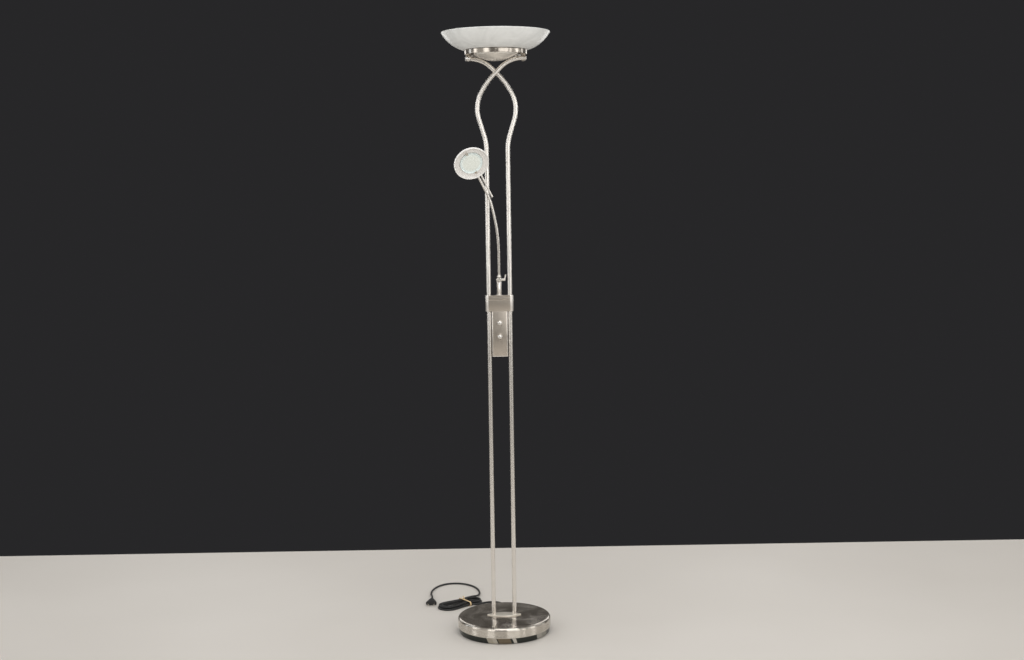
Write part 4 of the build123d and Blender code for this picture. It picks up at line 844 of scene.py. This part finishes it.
box_screw_places = [(x, box_depth, z) for z in (0.853, 1.010) for x in (-0.017, 0.017)]
rear_screws = screws_at("box_rear_screws", box_screw_places, 0.0030, 0.0016, (-pi / 2, 0, 0), zinc)
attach(rear_screws, "stand")
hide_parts("box_screws")

black_moulding = speckled("black_moulding", (800.0, 4.0), (0.012, 0.012, 0.012), (0.030, 0.030, 0.030),
                          Roughness=0.45)
dress(black_moulding, "upper_dimmer", "lower_dimmer")
nylon = speckled("pale_nylon", (300.0, 3.0), (0.66, 0.63, 0.55), (0.78, 0.76, 0.69), Roughness=0.5)
dress(nylon, "terminal_block")
bronze = metal("sintered_bronze", (0.62, 0.45, 0.24), (0.42, 0.29, 0.15), 0.42, 0.2, 1500.0)
dress(bronze, "post_bush")

# The two dimmer knobs: polished, a short collar, a waist and a ball for the fingers.
knob_polish = metal("knob_polish", (0.80, 0.78, 0.745), (0.66, 0.64, 0.61), 0.12, 0.06, 1800.0, relief=0.03,
                    marks=0.25, mark_scale=60.0)
knob_ball, knob_ball_middle, knob_ball_start = 0.00806, 0.00694, 1.70
knob_outline = [(0, 0), (0.0049, 0), (0.00496, 0.0002), (0.00496, 0.0010), (0.0047, 0.0013), (0.0050, 0.0017)]
knob_outline += arc_through((0.0050, 0.0017), (0.0066, 0.0037), (0.0078, 0.0058), 8)[1:]
knob_outline += [(knob_ball * sin(angle), knob_ball_middle + knob_ball * cos(angle))
                 for angle in [knob_ball_start * (22 - k) / 22 for k in range(1, 23)]]
knob_seat = -0.0111
for knob_name, knob_height in (("upper", 0.945), ("lower", 0.904)):
    knob_piece = turned(knob_name + "_ball_knob", knob_outline, knob_polish,
                        centre=(0, knob_seat, knob_height), along=(0, -1, 0), steps=72, crease=40)
    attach(knob_piece, knob_name + "_control")
    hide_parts(knob_name + "_knob")

# ------------------------------------------------------------------ arm
# A post that turns in the box, a collar on it, a knuckle with its bolt and clamp lever, and the
# bent tube with a threaded root. All of them are satin nickel.
arm_satin = metal("arm_satin", (0.84, 0.81, 0.765), (0.72, 0.69, 0.65), 0.26, 0.08, 1400.0, stretch=80.0,
                  relief=0.03, marks=0.12, mark_scale=30.0)


def softened(name, node, paint, crease=30):
    """A merged, smooth-shaded piece in the shape of a CAD node."""
    return merged(name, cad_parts[node].data, paint, crease, 2e-6)


for arm_name, arm_node, arm_body in (
        ("turning_post", "arm_post", "post"), ("bolt_of_knuckle", "knuckle_bolt", "post"),
        ("lever_of_clamp", "clamp_lever", "clamp"), ("root_of_arm", "arm_root", "arm"),
        ("stud_of_swivel", "swivel_stud", "arm")):
    arm_part = softened(arm_name, arm_node, arm_satin)
    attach(arm_part, arm_body)
    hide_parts(arm_node)
ring_inside, ring_outside, ring_low, ring_high = 0.00685, 0.00875, 1.02665, 1.02865
collar_outline = eased([(ring_inside, ring_low, 0.0002), (ring_outside, ring_low, 0.0005),
                        (ring_outside, ring_high, 0.0006), (ring_inside, ring_high, 0.0002)], 6)
collar_ring = turned("collar_ring", collar_outline, arm_satin, steps=96)
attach(collar_ring, "post")
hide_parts("post_ring")
arm_line = bent([(0, -0.00158831, 1.08519868), (0, -0.01715372, 1.20670575),
                 (-0.02183073, -0.03020396, 1.30857876), (-0.07925735, -0.0451648, 1.42536642)],
                [0.540, 0.215])
arm_tube = tube("bent_arm", arm_line, 0.0037, arm_satin, sides=40)
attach(arm_tube, "arm")
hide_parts("arm")

# ------------------------------------------------------------------ reading head
# A spun cup on a fork, a frosted dish pressed round its mouth, and a pressed lens that two spring
# clips hold. The capsule lamp stands in a ceramic socket behind it. A rod at the back aims it.
head_centre = Vector((-0.07437223, -0.08855816, 1.41543164))
head_right = Vector((0.89738, 0.0, 0.44126))
head_out = Vector((0.24675, -0.82904, -0.50181))
head_up = head_out.cross(head_right).normalized()
head_satin = metal("head_satin", (0.82, 0.79, 0.745), (0.70, 0.67, 0.63), 0.32, 0.040, 1600.0, relief=0.03,
                   marks=0.15, mark_scale=40.0)
for head_name, head_node, head_body, head_slot in (
        ("fork_of_head", "head_fork", "fork", "satin_nickel"),
        ("pin_of_head", "head_pin", "fork", "polished_nickel"),
        ("spun_cup", "head_cup", "head", "satin_nickel")):
    head_part = softened(head_name, head_node, head_satin, crease=28)
    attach(head_part, head_body)
    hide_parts(head_node)

rod_start = (-0.07295612, -0.04648858, 1.43430768)
rod_along = (0.44126, 0.0, -0.89738)
rod_outline = [(0, 0), (0.0028, 0), (0.0028, 0.1276), (0.00265, 0.1286), (0.0021, 0.1294), (0.0012, 0.1299),
               (0, 0.1300)]
rod_piece = turned("aiming_rod", rod_outline, head_satin, centre=rod_start, across=(0, 1, 0), along=rod_along,
                   steps=40)
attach(rod_piece, "head")
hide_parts("aim_rod")


def glass_paint(name, light, dark, roughness, through, scale, coat, edge=None):
    """Satin or pressed glass: a clouded tone, some light let through, and perhaps a painted highlight at its
    edge.
    """
    paint, inputs, place = principled(name, Transmission_Weight=through, Coat_Weight=coat,
                                      Coat_Roughness=0.12, IOR=1.48)
    cloud = noise(place, scale, 4.0, Distortion=2.2)
    shade = ramp(cloud, (0.36, dark), (0.62, light))
    if edge:
        # the paler colour towards the edge is a painted highlight
        rim = add_node(place.id_data, "ShaderNodeAttribute", attribute_name="edge").outputs["Fac"]
        shade = mixed(rim, shade, edge)
    feed(shade, inputs["Base Color"])
    feed(maths("MULTIPLY_ADD", cloud, 0.2, roughness - 0.1), inputs["Roughness"])
    feed(bump(noise(place, 2600.0, 2.0), 0.06, 0.0001), inputs["Normal"])
    return paint


def faced(name, outline, paint, steps, crease, inner, outer):
    """A turned piece on the head's axis. How far each corner lies from inner to outer is stored as the weight
    of its painted edge highlight.
    """
    piece = turned(name, outline, paint, head_centre, head_right, head_out, steps, crease)
    rim = piece.data.attributes.new("edge", "FLOAT", "POINT")
    for corner in piece.data.vertices:
        reach = (corner.co - head_centre).cross(head_out).length
        rim.data[corner.index].value = min(max((reach - inner) / (outer - inner), 0), 1)
    return piece


# the dish's pale outer edge is a painted highlight
dish_glass = glass_paint("dish_glass", (0.90, 0.875, 0.84), (0.82, 0.795, 0.76), 0.38, 0.08, 60.0, 0.35,
                         edge=(0.99, 0.975, 0.95))
dish_outline = arc_through((0.0348, -0.0088), (0.0455, -0.0114), (0.0515, -0.0050), 18)
dish_outline += arc_through((0.0515, -0.0010), (0.0503, 0.0), (0.0491, -0.0010), 10)
dish_outline += arc_through((0.0491, -0.0010), (0.0435, -0.0046), (0.0348, -0.0062), 18)[1:]
dish_piece = faced("frosted_dish", dish_outline, dish_glass, 160, 40, 0.0478, 0.0500)
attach(dish_piece, "head")
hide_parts("head_shade")

# the lens's cyan-white outer ring is a painted highlight
lens_glass = glass_paint("pressed_lens", (0.93, 0.975, 0.91), (0.84, 0.885, 0.82), 0.22, 0.06, 420.0, 0.6,
                         edge=(0.86, 0.97, 0.96))
lens_outline = [(0, -0.0058), (0.0330, -0.0058), (0.0332, -0.0056), (0.0332, -0.0030), (0.0330, -0.0028),
                (0.0322, -0.0029)]
lens_outline += arc_through((0.0318, -0.0031), (0.0304, -0.0044), (0.0284, -0.0050), 8)
lens_outline += arc_through((0.0284, -0.0050), (0.0145, -0.0041), (0.0, -0.0038), 10)[1:]
lens_piece = faced("pressed_lens", lens_outline, lens_glass, 128, 30, 0.0240, 0.0300)
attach(lens_piece, "head")
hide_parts("head_lens")

# Each clip is a flat strip that laps over the lens's edge, with a tab outside it down to the dish.
clip_brass = metal("spring_brass", (0.62, 0.50, 0.36), (0.42, 0.32, 0.22), 0.28, 0.15, 1600.0)
clip_place, clip_half, clip_seat = 0.0351, 0.0025, -0.0028
clip_work = bmesh.new()


def clip_corner(side, across, run, level):
    """A corner of one clip, from how far across, out and forward of the head's middle it lies."""
    return clip_work.verts.new(head_centre + head_right * across + head_up * side * run
                               + head_out * level)


for side in (-1, 1):
    # run from the clip's middle, rise and thickness of the strip
    skin(clip_work, [
        [clip_corner(side, across, clip_place + run, clip_seat + level) for across, level in (
            (-clip_half, rise), (-clip_half, rise + thick), (clip_half, rise + thick), (clip_half, rise))]
        for run, rise, thick in ((-0.0040, 0.00045, 0.00035), (-0.0034, 0.0, 0.0008), (0.0, 0.0, 0.0008),
                                 (0.0038, 0.0, 0.0008), (0.0040, 0.00015, 0.0005))])
    skin(clip_work, [
        [clip_corner(side, across, run, level) for across, run in (
            (-clip_half, 0.0355), (clip_half, 0.0355), (clip_half, 0.0367), (-clip_half, 0.0367))]
        for level in (-0.0054, clip_seat)])
lens_clips = finished("lens_clips", clip_work, clip_brass)
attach(lens_clips, "head")
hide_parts("head_clips")
clip_screw_places = [head_centre + head_up * run - head_out * 0.0020 for run in (-0.0363, 0.0363)]
clip_screws = screws_at("clip_screws", clip_screw_places, 0.0019, 0.0012,
                        head_out.to_track_quat("Z", "Y").to_euler(), zinc)
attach(clip_screws, "head")
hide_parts("head_screws")

ceramic = speckled("white_ceramic", (700.0, 4.0), (0.70, 0.68, 0.63), (0.86, 0.85, 0.81), Roughness=0.3)
quartz = glass_paint("quartz_glass", (0.97, 0.97, 0.97), (0.93, 0.93, 0.92), 0.10, 0.85, 300.0, 0.0)
dress(ceramic, "head_socket", "lamp_sockets")
dress(quartz, "head_bulb", "halogen_tube")

# ------------------------------------------------------------------ ring and bowl
# A polished ring with two welded lugs, bolted to the crossing tubes with ball nuts. A spun satin pan
# with the lamp hangs in the ring, and the glass bowl stands on a felt seat.
ring_polish = metal("ring_polish", (0.60, 0.555, 0.50), (0.47, 0.43, 0.38), 0.22, 0.06, 1500.0, spun=1.0,
                    relief=0.02, marks=0.2, mark_scale=30.0)
spun_grain(ring_polish, 0.7)
ring_piece = softened("polished_ring", "gallery_ring", ring_polish, crease=32)
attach(ring_piece, "stand")
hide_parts("gallery_ring")

nut_work = bmesh.new()
nut_flat, nut_round = 0.00808, 0.0094
nut_x, nut_y = 0.0805, 0.00202
nut_angles = [acos(-nut_flat / nut_round) * (28 - k) / 28 for k in range(29)]
nut_outline = [(0, 0)] + [(nut_round * sin(angle), nut_flat + nut_round * cos(angle)) for angle in nut_angles]
for side in (-1, 1):
    turn_into(nut_work, nut_outline, (-side * nut_x, -side * nut_y, end_z), (1, 0, 0), (0, -side, 0), 56)
nut_piece = finished("ball_nut_pair", nut_work, knob_polish, crease=40)
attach(nut_piece, "stand")
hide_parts("ball_nuts")

pan_satin = metal("pan_satin", (0.98, 0.945, 0.885), (0.88, 0.84, 0.78), 0.52, 0.08, 1400.0, spun=1.0,
                  relief=0.04, marks=0.10, mark_scale=30.0)
pan_bend, pan_low, pan_thick = 0.11925, 1.7160, 0.0012
pan_depth, pan_mouth, pan_mouth_inside = 0.0180, 0.063, 0.0618
pan_steps = 40


def dished(bend, mouth, low, steps):
    """Points of a shallow dish at the given steps of its way from the middle to its mouth."""
    angles = [atan2(mouth, bend - pan_depth) * step / pan_steps for step in steps]
    return [(bend * sin(angle), low + bend * (1 - cos(angle))) for angle in angles]


pan_outline = dished(pan_bend, pan_mouth, pan_low, range(pan_steps + 1))
pan_outline += [(0.0670, 1.7450), (0.0886, 1.7450), (0.0886, 1.7462), (0.0658, 1.7462),
                (pan_mouth_inside, 1.7352)]
pan_outline += dished(pan_bend - pan_thick, pan_mouth_inside, pan_low + pan_thick,
                      range(pan_steps - 1, -1, -1))
pan_piece = turned("satin_pan", pan_outline, pan_satin, steps=200, crease=24)
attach(pan_piece, "stand")
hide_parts("lamp_pan")
dress(zinc, "lamp_bridge", "lug_bolts")

bowl_glass = glass_paint("bowl_glass", (0.83, 0.838, 0.82), (0.745, 0.753, 0.735), 0.42, 0.04, 11.0, 0.25)
bowl_foot, bowl_seat, bowl_floor = 0.0850, 1.7481, 1.7531
bowl_outline = [(bowl_foot, bowl_seat)]
bowl_outline += arc_through((0.0960, bowl_seat), (0.1348, 1.7684), (0.1596, 1.7984), 36)
bowl_outline += arc_through((0.1596, 1.7984), (0.1576, 1.8000), (0.1554, 1.7992), 10)[1:]
bowl_outline += arc_through((0.1554, 1.7992), (0.1316, 1.7726), (0.0955, bowl_floor), 36)[1:]
bowl_outline += [(bowl_foot, bowl_floor)]
bowl_piece = turned("opal_bowl", bowl_outline, bowl_glass, steps=320, crease=40)
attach(bowl_piece, "stand")
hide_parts("glass_bowl")
